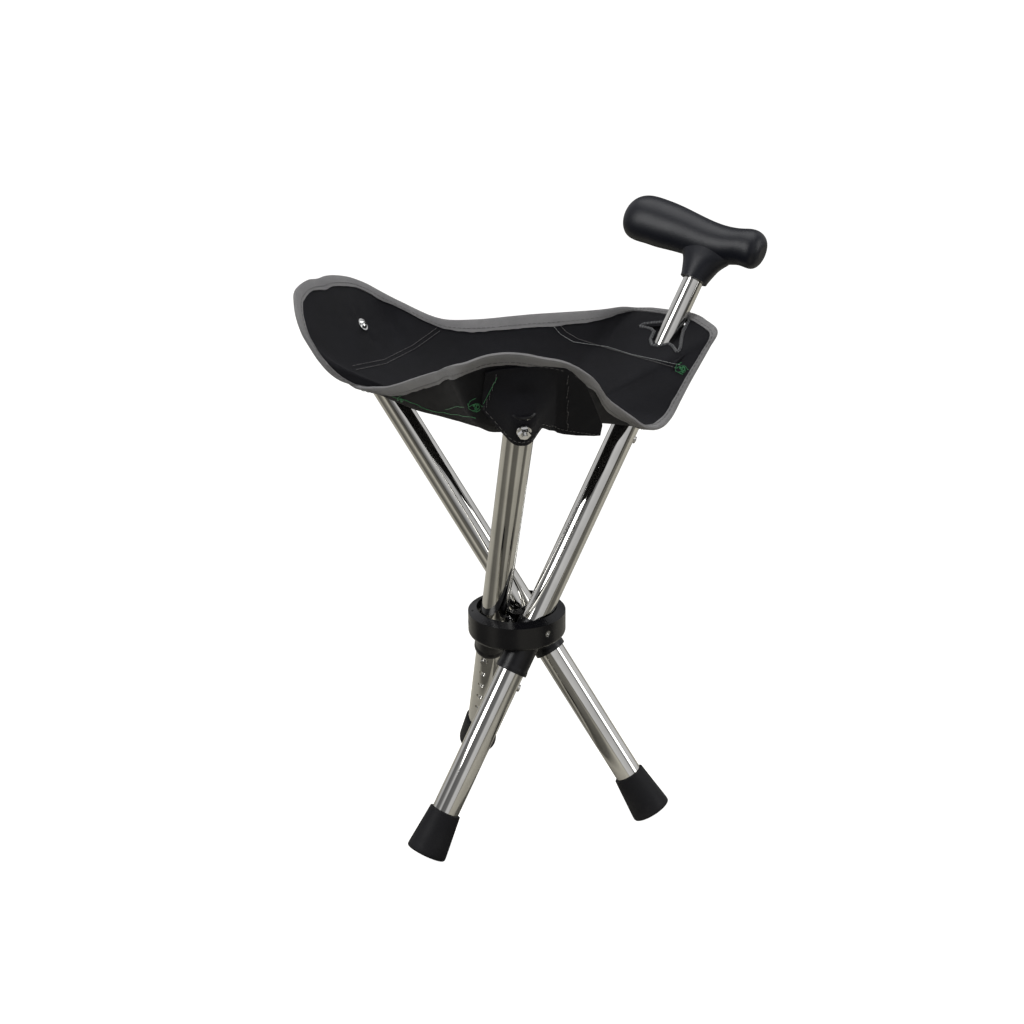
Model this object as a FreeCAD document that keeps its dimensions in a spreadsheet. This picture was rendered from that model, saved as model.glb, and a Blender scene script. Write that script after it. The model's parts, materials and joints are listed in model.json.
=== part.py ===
import FreeCAD, Part
import Sketcher
import math
import os

V = FreeCAD.Vector
document = FreeCAD.newDocument("cane_stool")

# Driving sizes, in millimetres and degrees. Heights along a leg are counted from its pivot.
SIZES = [
    ("first_leg_turn", -90.0), ("leg_tilt", 33.8), ("pivot_radius", 22.2), ("floor_cut", 1.6),
    ("tube_radius", 12.7), ("tube_wall", 1.5), ("leg_end", 189.2), ("leg_above_bolt", 9.5),
    ("cane_leg_top", 268.0), ("hole_radius", 3.7), ("hole_turn", 30.0), ("first_hole", 58.0),
    ("hole_pitch", 22.5), ("hole_count", 5), ("running_gap", 0.1), ("pin_gap", 0.05),
    ("ring_radius", 45.8), ("ring_bore", 37.8), ("ring_mouth", 40.3), ("ring_top", 13.0),
    ("ring_edge", 9.5), ("ring_low", 14.0), ("ring_round", 4.8), ("core_radius", 6.4),
    ("web_thickness", 3.0), ("web_half", 4.0), ("pin_radius", 3.0), ("pin_start", 3.6),
    ("pin_sink", 0.6), ("pin_eye", 1.5), ("pin_eye_depth", 4.0), ("lock_radius", 1.25),
    ("lock_place", 42.0), ("lock_sink", 0.3), ("sleeve_wall", 1.9), ("sleeve_low", 46.0),
    ("sleeve_top", 5.0), ("sleeve_lip", 0.6), ("sleeve_lip_height", 3.0),
    ("plug_depth", 6.0), ("plug_cap", 2.5), ("plug_wall", 2.0), ("cap_edge", 1.0),
    ("extension_wall", 1.0), ("extension_top", 12.0), ("foot_length", 42.9),
    ("foot_radius", 19.0), ("foot_neck", 15.0), ("foot_sole", 7.0), ("foot_round", 2.0),
    ("foot_lip", 2.0), ("plate_thickness", 1.5), ("clip_width", 7.0), ("clip_wall", 0.6),
    ("clip_room", 0.9), ("clip_rise", 30.0), ("clip_tail", 6.0), ("button_radius", 3.4),
    ("button_reach", 1.8), ("handle_radius", 9.5), ("handle_wall", 1.2), ("handle_low", 175.0),
    ("handle_button", 198.0), ("handle_holes", 3), ("guide_height", 12.0), ("bush_depth", 18.0),
    ("bush_flange", 3.0), ("bush_flange_radius", 13.8), ("grip_base", 357.0),
    ("grip_turn", 17.0), ("grip_thick", 34.0), ("tube_in_grip", 42.0),
    ("bolt_place", 308.5), ("bolt_radius", 2.5), ("bolt_gap", 0.1), ("bolt_head_radius", 4.6),
    ("bolt_head_height", 2.8), ("washer_radius", 6.0), ("washer_thickness", 1.0),
    ("nut_radius", 5.2), ("nut_height", 4.0), ("bolt_tip", 2.0), ("socket_radius", 1.7),
    ("socket_depth", 1.6), ("cloth", 1.4),
    ("cloth_gap", 0.4), ("flap_below_bolt", 36.0), ("cane_flap_lean", 31.0),
    ("cane_flap_fold", 102.0), ("slot_place", 301.0), ("slot_front", 36.0),
    ("slot_back", 34.0), ("slot_turn", 10.0), ("slot_gap", 1.2), ("seat_sag", 56.4),
    ("seat_eye", 12.0),
    ("binding_width", 7.0), ("binding_wall", 0.9), ("binding_gap", 0.5),
    ("pocket_below_bolt", 32.5), ("pocket_half_width", 30.0), ("pocket_above_bolt", 30.0),
    ("cane_pocket_half_width", 32.0), ("cane_pocket_drop", 47.0), ("cane_pocket_reach", 6.0),
    ("cane_pocket_shift", -9.0), ("cane_pocket_bulge", 3.4), ("pocket_rise", 14.1),
]
sheet = document.addObject("Spreadsheet::Sheet", "sizes")
for row, (alias, number) in enumerate(SIZES, 1):
    sheet.set(f"A{row}", alias)
    sheet.set(f"B{row}", str(number))
    sheet.setAlias(f"B{row}", alias)
document.recompute()


def size(alias):
    return float(sheet.get(alias))


# Legs by name, evenly spaced: the plan angle of each pivot pin about the hub's axis
LEG_NAMES = ("cane", "left", "front")
LEGS = {
    name: size("first_leg_turn") + 360 * k / len(LEG_NAMES) for k, name in enumerate(LEG_NAMES)
}
PARTS = []

tilt = math.radians(size("leg_tilt"))
tube_radius = size("tube_radius")
foot_reach = size("leg_end") + size("foot_length") + size("cloth_gap")
pivot_height = (
    foot_reach * math.cos(tilt)
    + size("foot_radius") * math.sin(tilt)
    - size("floor_cut")
)
BORE = "(sizes.tube_radius - sizes.tube_wall)"
EXTENSION = "(sizes.tube_radius - sizes.tube_wall - sizes.running_gap)"
EXTENSION_BORE = "(sizes.tube_radius - sizes.tube_wall - sizes.running_gap - sizes.extension_wall)"
FOOT_BOTTOM = "(-sizes.leg_end - sizes.cloth_gap - sizes.foot_length)"


class Leg:
    """A leg's own directions at rest: along its pin, its outer side, and up the tube."""

    def __init__(self, angle):
        around = math.radians(angle)
        self.out = V(math.cos(around), math.sin(around), 0)
        along = V(-math.sin(around), math.cos(around), 0)
        self.up = along * math.sin(tilt) + V(0, 0, math.cos(tilt))
        self.side = along * math.cos(tilt) - V(0, 0, math.sin(tilt))
        self.pivot = self.out * size("pivot_radius") + V(0, 0, pivot_height)

    def point(self, across, side, up):
        return self.pivot + self.out * across + self.side * side + self.up * up

    def placement(self):
        turn = FreeCAD.Rotation(self.out, self.side, self.up, "ZXY")
        return FreeCAD.Placement(self.pivot, turn)


legs = {name: Leg(angle) for name, angle in LEGS.items()}
hub_turn = FreeCAD.Rotation(V(0, 0, 1), size("first_leg_turn") + 90)
hub_place = FreeCAD.Placement(V(0, 0, pivot_height), hub_turn)
pin_ways = [hub_turn.inverted().multVec(leg.out) for leg in legs.values()]
LEG_TOP = "(sizes.bolt_place + sizes.leg_above_bolt)"
leg_top = size("bolt_place") + size("leg_above_bolt")
bolt_height = size("bolt_place") * math.cos(tilt)


def keep(label, item):
    item.Label = label
    PARTS.append((label, item))
    return item


def feature(label, shape, place=None):
    item = document.addObject("Part::Feature", label)
    item.Shape = shape
    if place is not None:
        item.Placement = place
    return keep(label, item)


def new_body(label):
    return keep(label, document.addObject("PartDesign::Body", label))


def origin_item(owner, role):
    return next(item for item in owner.Origin.OriginFeatures if item.Role == role)


def new_sketch(owner, name, role, turn=0.0):
    sketch = owner.newObject("Sketcher::SketchObject", name)
    sketch.AttachmentSupport = [(origin_item(owner, role), "")]
    sketch.MapMode = "FlatFace"
    if turn:
        sketch.AttachmentOffset = FreeCAD.Placement(V(), FreeCAD.Rotation(V(0, 1, 0), turn))
    return sketch


def bind(sketch, kind, geometry, point, start, text):
    number = sketch.addConstraint(Sketcher.Constraint(kind, -1, 1, geometry, point, start))
    sketch.setExpression(f"Constraints[{number}]", text)


def add_polygon(sketch, corners):
    """A closed outline whose corners are bound to the sheet."""
    count = len(corners)
    first = sketch.GeometryCount
    start = [
        V(40 * math.cos(2 * math.pi * k / count), 40 * math.sin(2 * math.pi * k / count), 0)
        for k in range(count)
    ]
    for k in range(count):
        sketch.addGeometry(Part.LineSegment(start[k], start[(k + 1) % count]), False)
    for k in range(count):
        sketch.addConstraint(
            Sketcher.Constraint("Coincident", first + k, 2, first + (k + 1) % count, 1)
        )
    for k, (across, up) in enumerate(corners):
        bind(sketch, "DistanceX", first + k, 1, start[k].x, across)
        bind(sketch, "DistanceY", first + k, 1, start[k].y, up)


def add_circle(sketch, across, up, radius):
    number = sketch.addGeometry(Part.Circle(V(1, 1, 0), V(0, 0, 1), 3), False)
    bind(sketch, "DistanceX", number, 3, 1, across)
    bind(sketch, "DistanceY", number, 3, 1, up)
    constraint = sketch.addConstraint(Sketcher.Constraint("Radius", number, 3))
    sketch.setExpression(f"Constraints[{constraint}]", radius)


def revolve(owner, corners):
    sketch = new_sketch(owner, owner.Label + "_outline", "XZ_Plane")
    add_polygon(sketch, corners)
    turned = owner.newObject("PartDesign::Revolution", owner.Label + "_turned")
    turned.Profile = sketch
    turned.ReferenceAxis = (sketch, ["V_Axis"])
    turned.Angle = 360
    return turned


def cut_through(owner, sketch):
    cut = owner.newObject("PartDesign::Pocket", sketch.Label + "_cut")
    cut.Profile = sketch
    cut.Type = "ThroughAll"
    cut.SideType = "Symmetric"
    return cut


def cut_one_way(owner, sketch, length, backwards):
    cut = owner.newObject("PartDesign::Pocket", sketch.Label + "_cut")
    cut.Profile = sketch
    cut.Type = "Length"
    cut.setExpression("Length", length)
    cut.Reversed = backwards
    return cut


def thrice(owner, item):
    pattern = owner.newObject("PartDesign::PolarPattern", item.Label + "_thrice")
    pattern.Originals = [item]
    pattern.Axis = (origin_item(owner, "Z_Axis"), [""])
    pattern.Angle = 360
    pattern.Occurrences = 3
    owner.Tip = pattern
    return pattern


def round_edges(owner, edges, radius):
    before = owner.Tip
    rounding = owner.newObject("PartDesign::Fillet", owner.Label + "_rounding")
    rounding.Base = (before, edges)
    rounding.setExpression("Radius", radius)
    return rounding


def tube(owner, outer, inner, low, top):
    return revolve(owner, [(inner, low), (outer, low), (outer, top), (inner, top)])


# Hub moulding: a ring with a core and three webs, drilled for the pins and their lock screws
def hub_ring():
    ring = new_body("hub_ring")
    revolve(ring, [
        ("sizes.ring_bore", "sizes.ring_top"),
        ("sizes.ring_radius", "sizes.ring_edge"),
        ("sizes.ring_radius", "-sizes.ring_low"),
        ("sizes.ring_mouth", "-sizes.ring_low"),
        ("sizes.ring_bore", "-sizes.ring_low / 2"),
    ])
    document.recompute()
    edges = [
        f"Edge{k}" for k, edge in enumerate(ring.Shape.Edges, 1)
        if abs(edge.BoundBox.ZMax + size("ring_low")) < 0.01
        and abs(edge.BoundBox.XMax - size("ring_radius")) < 0.01
    ]
    round_edges(ring, edges, "sizes.ring_round")
    document.recompute()
    web_sketch = new_sketch(ring, "web", "XY_Plane")
    reach = "(sizes.ring_bore + sizes.ring_radius) / 2"
    half = "sizes.web_thickness / 2"
    add_polygon(web_sketch, [("-" + half, "0"), (half, "0"), (half, reach), ("-" + half, reach)])
    web = ring.newObject("PartDesign::Pad", "web_pad")
    web.Profile = web_sketch
    web.setExpression("Length", "2 * sizes.web_half")
    web.SideType = "Symmetric"
    document.recompute()
    thrice(ring, web)
    document.recompute()
    core_sketch = new_sketch(ring, "core", "XY_Plane")
    add_circle(core_sketch, "0", "0", "sizes.core_radius")
    core = ring.newObject("PartDesign::Pad", "core_pad")
    core.Profile = core_sketch
    core.setExpression("Length", "2 * (sizes.web_half + sizes.pin_radius)")
    core.SideType = "Symmetric"
    document.recompute()
    hole_sketch = new_sketch(ring, "pin_hole", "XZ_Plane")
    add_circle(hole_sketch, "0", "0", "sizes.pin_radius")
    hole = cut_one_way(ring, hole_sketch, "2 * sizes.ring_radius", True)
    document.recompute()
    thrice(ring, hole)
    document.recompute()
    lock_sketch = new_sketch(ring, "lock_hole", "XY_Plane")
    add_circle(lock_sketch, "0", "-sizes.lock_place", "sizes.lock_radius")
    lock = cut_one_way(ring, lock_sketch, "2 * sizes.ring_top", True)
    thrice(ring, lock)
    ring.Placement = hub_place


def pivot_pins():
    pins = []
    start = size("pin_start")
    end = size("ring_radius") - size("pin_sink")
    eye_start = end - size("pin_eye_depth")
    for way in pin_ways:
        pin = Part.makeCylinder(size("pin_radius"), end - start, way * start, way)
        eye = Part.makeCylinder(size("pin_eye"), end - eye_start, way * eye_start, way)
        pins.append(pin.cut(eye))
    feature("pivot_pins", Part.makeCompound(pins), hub_place)


def lock_screws():
    slope = (size("ring_top") - size("ring_edge")) / (size("ring_radius") - size("ring_bore"))
    outer_edge = size("lock_place") + size("lock_radius")
    top = size("ring_top") - slope * (outer_edge - size("ring_bore")) - size("lock_sink")
    screws = []
    for way in pin_ways:
        base = way * size("lock_place") + V(0, 0, size("pin_radius"))
        length = top - size("pin_radius")
        screws.append(Part.makeCylinder(size("lock_radius"), length, base, V(0, 0, 1)))
    feature("pin_lock_screws", Part.makeCompound(screws), hub_place)


# Legs: a chromed tube in a moulded sleeve, both drilled for the pivot pin
def pin_hole(owner):
    sketch = new_sketch(owner, owner.Label + "_pin_hole", "YZ_Plane")
    add_circle(sketch, "0", "0", "sizes.pin_radius + sizes.pin_gap")
    cut_through(owner, sketch)


def side_holes(owner, name, places, radius):
    """Round holes in the tube's outer side only, turned about the tube as its buttons are."""
    sketch = new_sketch(owner, owner.Label + name, "XZ_Plane", -size("hole_turn"))
    for place in places:
        add_circle(sketch, "0", place, radius)
    cut_one_way(owner, sketch, "sizes.tube_radius + sizes.tube_wall", False)


def leg_tube(name, leg):
    owner = new_body(name + "_leg_tube")
    top = "sizes.cane_leg_top" if name == "cane" else LEG_TOP
    tube(owner, "sizes.tube_radius", BORE, "-sizes.leg_end", top)
    document.recompute()
    pin_hole(owner)
    document.recompute()
    row = [
        f"-sizes.first_hole - {k} * sizes.hole_pitch" for k in range(int(size("hole_count")))
    ]
    side_holes(owner, "_low_row", row, "sizes.hole_radius")
    document.recompute()
    if name == "cane":
        row = [
            f"sizes.handle_button + {k} * sizes.hole_pitch"
            for k in range(int(size("handle_holes")))
        ]
        side_holes(owner, "_high_row", row, "sizes.hole_radius")
    else:
        sketch = new_sketch(owner, owner.Label + "_bolt_hole", "XZ_Plane")
        add_circle(sketch, "0", "sizes.bolt_place", "sizes.bolt_radius + sizes.bolt_gap")
        cut_through(owner, sketch)
    owner.Placement = leg.placement()


def leg_sleeve(name, leg):
    owner = new_body(name + "_leg_sleeve")
    outer = "sizes.tube_radius + sizes.sleeve_wall"
    revolve(owner, [
        ("sizes.tube_radius", "-sizes.sleeve_low"),
        (outer + " + sizes.sleeve_lip", "-sizes.sleeve_low"),
        (outer + " + sizes.sleeve_lip", "-sizes.sleeve_low + sizes.sleeve_lip_height"),
        (outer, "-sizes.sleeve_low + 2 * sizes.sleeve_lip_height"),
        (outer, "sizes.sleeve_top"),
        ("sizes.tube_radius", "sizes.sleeve_top"),
    ])
    document.recompute()
    pin_hole(owner)
    owner.Placement = leg.placement()


def tube_end_cap(name, leg):
    owner = new_body(name + "_leg_end_cap")
    hollow = BORE + " - sizes.plug_wall"
    revolve(owner, [
        (hollow, LEG_TOP + " - sizes.plug_depth"),
        (BORE, LEG_TOP + " - sizes.plug_depth"),
        (BORE, LEG_TOP),
        ("sizes.tube_radius", LEG_TOP),
        ("sizes.tube_radius", LEG_TOP + " + sizes.plug_cap - sizes.cap_edge"),
        ("sizes.tube_radius - sizes.cap_edge", LEG_TOP + " + sizes.plug_cap"),
        ("0", LEG_TOP + " + sizes.plug_cap"),
        ("0", LEG_TOP),
        (hollow, LEG_TOP),
    ])
    owner.Placement = leg.placement()


def reducer_bush(leg):
    owner = new_body("reducer_bush")
    inner = "sizes.handle_radius + sizes.pin_gap"
    top = "sizes.cane_leg_top"
    revolve(owner, [
        (inner, top + " - sizes.bush_depth"),
        (BORE, top + " - sizes.bush_depth"),
        (BORE, top),
        ("sizes.bush_flange_radius", top),
        ("sizes.bush_flange_radius", top + " + sizes.bush_flange - sizes.cap_edge"),
        ("sizes.bush_flange_radius - sizes.cap_edge", top + " + sizes.bush_flange"),
        (inner, top + " + sizes.bush_flange"),
    ])
    owner.Placement = leg.placement()


# Seat bolts: each clamps the flap, the tube and the pocket between two washers
def seat_bolt(name, leg):
    place = V(0, 0, size("bolt_place"))
    inside = tube_radius + 2 * size("cloth_gap") + size("cloth")
    outside = size("pocket_rise") + size("cloth") + size("cloth_gap")
    washer = size("washer_thickness")
    head = size("bolt_head_height")
    nut = size("nut_height")
    along = V(0, 1, 0)
    shank_length = inside + outside + 2 * washer + nut + size("bolt_tip")
    start = place - along * (inside + washer)
    shank = Part.makeCylinder(size("bolt_radius"), shank_length, start, along)
    dome_radius = (size("bolt_head_radius") ** 2 + head**2) / (2 * head)
    dome = Part.makeSphere(dome_radius, start + along * (dome_radius - head))
    face = Part.makeCylinder(size("bolt_head_radius"), head, start - along * head, along)
    rounded = dome.common(face)
    outer_face = start - along * head
    corners = [
        outer_face
        + V(math.cos(k * math.pi / 3), 0, math.sin(k * math.pi / 3)) * size("socket_radius")
        for k in range(7)
    ]
    socket = Part.Face(Part.makePolygon(corners)).extrude(along * size("socket_depth"))
    bolt = shank.fuse(rounded).removeSplitter().cut(socket)
    feature(name + "_seat_bolt", bolt, leg.placement())
    rings = []
    for low in (-inside - washer, outside):
        base = place + along * low
        plate = Part.makeCylinder(size("washer_radius"), washer, base, along)
        hole = Part.makeCylinder(size("bolt_radius") + size("bolt_gap"), washer, base, along)
        rings.append(plate.cut(hole))
    feature(name + "_seat_washers", Part.makeCompound(rings), leg.placement())
    base = place + along * (outside + washer)
    corners = [
        base + V(math.cos(k * math.pi / 3), 0, math.sin(k * math.pi / 3)) * size("nut_radius")
        for k in range(7)
    ]
    block = Part.Face(Part.makePolygon(corners)).extrude(along * nut)
    thread = Part.makeCylinder(size("bolt_radius"), nut, base, along)
    feature(name + "_seat_nut", block.cut(thread), leg.placement())


# Telescoping parts: tubes, rubber feet and the spring clips whose buttons lock them
def extension_tube(name, leg):
    owner = new_body(name + "_extension_tube")
    low = FOOT_BOTTOM + " + sizes.foot_sole + sizes.plate_thickness"
    tube(owner, EXTENSION, EXTENSION_BORE, low, "-sizes.extension_top")
    document.recompute()
    side_holes(owner, "_button_hole", ["-sizes.first_hole"], "sizes.hole_radius")
    owner.Placement = leg.placement()


def foot(name, leg):
    owner = new_body(name + "_rubber_foot")
    top = FOOT_BOTTOM + " + sizes.foot_length"
    revolve(owner, [
        ("0", FOOT_BOTTOM),
        ("sizes.foot_radius", FOOT_BOTTOM),
        ("sizes.foot_radius", FOOT_BOTTOM + " + sizes.foot_lip + sizes.foot_round"),
        ("sizes.foot_neck", top),
        (EXTENSION, top),
        (EXTENSION, FOOT_BOTTOM + " + sizes.foot_sole"),
        ("0", FOOT_BOTTOM + " + sizes.foot_sole"),
    ])
    document.recompute()
    bottom = -size("leg_end") - size("cloth_gap") - size("foot_length")
    edges = [
        f"Edge{k}" for k, edge in enumerate(owner.Shape.Edges, 1)
        if abs(edge.BoundBox.ZMax - bottom) < 0.01 and edge.BoundBox.XLength > size("foot_radius")
    ]
    round_edges(owner, edges, "sizes.foot_round")
    document.recompute()
    floor = new_sketch(owner, name + "_floor_cut", "YZ_Plane")
    slope = "tan(sizes.leg_tilt * 1 deg)"
    rise = "sizes.floor_cut / cos(sizes.leg_tilt * 1 deg)"
    low = f"{FOOT_BOTTOM} - 3 * sizes.foot_radius * {slope} + {rise}"
    high = f"{FOOT_BOTTOM} + sizes.foot_radius * {slope} + {rise}"
    add_polygon(floor, [
        ("-2 * sizes.foot_radius", low),
        ("2 * sizes.foot_radius", low),
        ("2 * sizes.foot_radius", high),
    ])
    cut_through(owner, floor)
    owner.Placement = leg.placement()


def foot_plate(name, leg):
    owner = new_body(name + "_foot_plate")
    low = FOOT_BOTTOM + " + sizes.foot_sole"
    high = low + " + sizes.plate_thickness"
    revolve(owner, [("0", low), (EXTENSION, low), (EXTENSION, high), ("0", high)])
    owner.Placement = leg.placement()


def spring_clip(label, leg, bore, reach, place):
    """A strip bent to a U inside the tube, with a button that stands through both walls."""
    outer = bore - size("clip_room")
    inner = outer - size("clip_wall")
    low = place - size("clip_tail")
    bend = place + size("clip_rise") - outer

    def corner(side, up):
        return V(-size("clip_width") / 2, side, up)

    strip = Part.Wire([
        Part.LineSegment(corner(outer, low), corner(outer, bend)).toShape(),
        Part.Arc(corner(outer, bend), corner(0, bend + outer), corner(-outer, bend)).toShape(),
        Part.LineSegment(corner(-outer, bend), corner(-outer, low)).toShape(),
        Part.LineSegment(corner(-outer, low), corner(-inner, low)).toShape(),
        Part.LineSegment(corner(-inner, low), corner(-inner, bend)).toShape(),
        Part.Arc(corner(-inner, bend), corner(0, bend + inner), corner(inner, bend)).toShape(),
        Part.LineSegment(corner(inner, bend), corner(inner, low)).toShape(),
        Part.LineSegment(corner(inner, low), corner(outer, low)).toShape(),
    ])
    spring = Part.Face(strip).extrude(V(size("clip_width"), 0, 0))
    start = outer - size("clip_wall") / 2
    button = Part.makeCylinder(
        size("button_radius"), reach - start, V(0, start, place), V(0, 1, 0)
    )
    clip = spring.fuse(button).removeSplitter()
    turn = FreeCAD.Placement(V(), FreeCAD.Rotation(V(0, 0, 1), -size("hole_turn")))
    feature(label, clip, leg.placement().multiply(turn))


# Handle: a thinner tube with a guide at its foot and a moulded grip across its top
def handle(leg):
    owner = new_body("handle_tube")
    wall = "sizes.handle_radius - sizes.handle_wall"
    tube(owner, "sizes.handle_radius", wall, "sizes.handle_low",
         "sizes.grip_base + sizes.tube_in_grip")
    document.recompute()
    side_holes(owner, "_button_hole", ["sizes.handle_button"], "sizes.hole_radius")
    owner.Placement = leg.placement()
    guide = new_body("handle_guide")
    tube(guide, EXTENSION, "sizes.handle_radius", "sizes.handle_low",
         "sizes.handle_low + sizes.guide_height")
    guide.Placement = leg.placement()


# Grip sections along the handle: where, underside, top and how much of the full width
GRIP_SECTIONS = [
    (-94.4, 33.0, 47.0, 0.36), (-92.5, 27.0, 53.5, 0.62), (-87.0, 21.0, 60.0, 0.86),
    (-72.0, 18.4, 64.6, 1.0), (-48.0, 19.0, 64.0, 0.99), (-22.0, 20.5, 60.8, 0.94),
    (4.0, 21.0, 58.4, 0.9), (24.0, 24.5, 60.2, 0.9), (38.0, 27.2, 63.2, 0.91),
    (47.0, 27.5, 61.0, 0.84), (51.5, 31.5, 56.5, 0.62), (53.3, 37.0, 51.0, 0.36),
]
# Neck sections up the handle: height over the grip's base, half length and half width
NECK_SECTIONS = [
    (0.0, 13.2, 13.0), (5.0, 14.4, 13.4), (11.0, 16.6, 13.8), (17.0, 19.4, 14.0),
    (22.0, 23.4, 13.9), (30.0, 27.0, 13.2),
]


def grip(leg):
    turn = math.radians(size("grip_turn"))
    along = V(math.cos(turn), math.sin(turn), 0)
    across = V(-math.sin(turn), math.cos(turn), 0)
    base = V(0, 0, size("grip_base"))

    def ring(centre, long_way, long_half, short_way, short_half):
        curve = Part.Ellipse(
            centre + long_way * long_half, centre + short_way * short_half, centre
        )
        return Part.Wire(curve.toShape())

    sections = [
        ring(
            base + along * place + V(0, 0, (low + top) / 2),
            V(0, 0, 1), (top - low) / 2,
            across, min(size("grip_thick") * share, top - low - 0.5) / 2,
        )
        for place, low, top, share in GRIP_SECTIONS
    ]
    bar = Part.makeLoft(sections, True, False)
    neck_rings = [
        ring(base + V(0, 0, up), along, long_half, across, short_half)
        for up, long_half, short_half in NECK_SECTIONS
    ]
    neck = Part.makeLoft(neck_rings, True, False)
    bore = Part.makeCylinder(size("handle_radius"), size("tube_in_grip"), base, V(0, 0, 1))
    feature("handle_grip", bar.fuse(neck).cut(bore), leg.placement())


# Seat: cloth whose three corner flaps lie on the leg tops and whose middle sags between them
class Flap:
    """The plane of one corner flap, with points counted along the pin and up the flap."""

    def __init__(self, name, leg):
        self.leg = leg
        if name == "cane":
            lean = math.radians(size("cane_flap_lean"))
            self.up = leg.up * math.cos(lean) + leg.side * math.sin(lean)
            self.under = leg.side * math.cos(lean) - leg.up * math.sin(lean)
            self.origin = leg.point(0, 0, size("slot_place"))
            self.fold = -size("cane_flap_fold")
        else:
            rest = tube_radius + size("cloth_gap") + size("cloth")
            self.up = leg.up
            self.under = leg.side
            self.origin = leg.point(0, -rest, size("bolt_place"))
            self.fold = -size("flap_below_bolt")

    def point(self, across, up):
        return self.origin + self.leg.out * across + self.up * up

    def fold_point(self, edge):
        """Where the line from the seat's middle to an edge point crosses the flap's fold."""
        along = flat(self.up)
        reach = self.point(0, self.fold).dot(along) / flat(edge).dot(along)
        fold = flat(edge) * reach
        fold.z = self.point(0, self.fold).z
        return fold


# Edge points of each flap, round the seat: across the flap, and up it from its slot or bolt
FLAP_EDGES = {
    "cane": [(43, 23), (26, 28), (3, 30), (-43, 28), (-62, 24)],
    "left": [
        (52, 22), (34, 43), (-8, 55), (-40, 60), (-72, 54), (-87, 37), (-95, 17), (-91, -35),
    ],
    "front": [(46, 51), (28, 58), (-12, 56), (-34, 48), (-52, 31), (-63, 5)],
}
# Edge points between two flaps: share of the way, drawn in towards the middle, and rise
SIDE_EDGES = {
    "back": [
        (0.08, 11, -1), (0.18, 21, -1), (0.31, 26, -4), (0.47, 26, -10), (0.63, 24, -17),
        (0.76, 18, -18), (0.9, 7, -7),
    ],
    "left": [
        (0.05, 15, -6), (0.13, 22, -9), (0.25, 24, -10), (0.45, 22, -7), (0.65, 17, -5),
        (0.81, 6, -2), (0.92, -2, -1),
    ],
    "right": [
        (0.1, 8, -6), (0.25, 16, -27), (0.43, 16, -53), (0.54, 16, -68), (0.63, 14, -73),
        (0.71, 13, -68), (0.83, 8, -42), (0.95, 2, -15),
    ],
}
SIDES = [("back", "cane", "left"), ("left", "left", "front"), ("right", "front", "cane")]
FOLD_SHARE = 0.72
FOLD_SPREAD = 0.3
SAG_SHARE = 0.2
flaps = {name: Flap(name, leg) for name, leg in legs.items()}
seat_floor = pivot_height + bolt_height - size("seat_sag")


def flat(point):
    return V(point.x, point.y, 0)


def unit(vector):
    return vector * (1 / vector.Length)


def fold_share(flap, edge):
    return flat(flap.fold_point(edge)).Length / flat(edge).Length


def side_rib(start, end, start_fold, end_fold, share, drawn_in, rise):
    """Fold and edge of a rib between two flaps, with the way to its under side."""
    across = unit(V(start.y - end.y, end.x - start.x, 0))
    edge = start * (1 - share) + end * share + across * drawn_in + V(0, 0, rise)
    from_start = max(0.0, 1 - share / FOLD_SPREAD)
    from_end = max(0.0, 1 - (1 - share) / FOLD_SPREAD)
    place = FOLD_SHARE + (start_fold - FOLD_SHARE) * from_start
    place += (end_fold - FOLD_SHARE) * from_end
    fold = flat(edge) * place
    fold.z = seat_floor + (edge.z - seat_floor) * (0.35 * place**2 + 0.65 * place**4)
    outward = unit(flat(edge))
    slope = unit(edge - fold)
    return fold, edge, outward * slope.z - V(0, 0, 1) * slope.dot(outward)


def seat_ribs():
    """Ribs around the seat: centre, belly, fold and edge points with their under directions."""
    ribs = []
    down = V(0, 0, -1)
    for side, here, there in SIDES:
        flap = flaps[here]
        other = flaps[there]
        for across, up in FLAP_EDGES[here]:
            edge = flap.point(across, up)
            ribs.append((flap.fold_point(edge), edge, flap.under))
        start = flap.point(*FLAP_EDGES[here][-1])
        end = other.point(*FLAP_EDGES[there][0])
        folds = (fold_share(flap, start), fold_share(other, end))
        for place in SIDE_EDGES[side]:
            ribs.append(side_rib(start, end, *folds, *place))
    finished = []
    for fold, edge, under in ribs:
        outward = unit(flat(fold))
        centre = outward * size("seat_eye") + V(0, 0, seat_floor)
        belly = (flat(fold) + flat(centre)) * 0.5
        belly.z = seat_floor + (fold.z - seat_floor) * SAG_SHARE
        finished.append([(centre, down), (belly, down), (fold, under), (edge, under)])
    return finished


def sewn(faces):
    shell = Part.makeShell(faces)
    shell.sewShape()
    solid = Part.makeSolid(shell)
    if solid.Volume < 0:
        solid.reverse()
    return solid


def ruled_ring(rings):
    """A closed tube of ruled faces through rings of matching corner points."""
    faces = []
    for k, ring in enumerate(rings):
        after = rings[(k + 1) % len(rings)]
        for j in range(len(ring)):
            here = Part.LineSegment(ring[j], ring[(j + 1) % len(ring)]).toShape()
            there = Part.LineSegment(after[j], after[(j + 1) % len(ring)]).toShape()
            faces.append(Part.makeRuledSurface(here, there))
    return sewn(faces)


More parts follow.
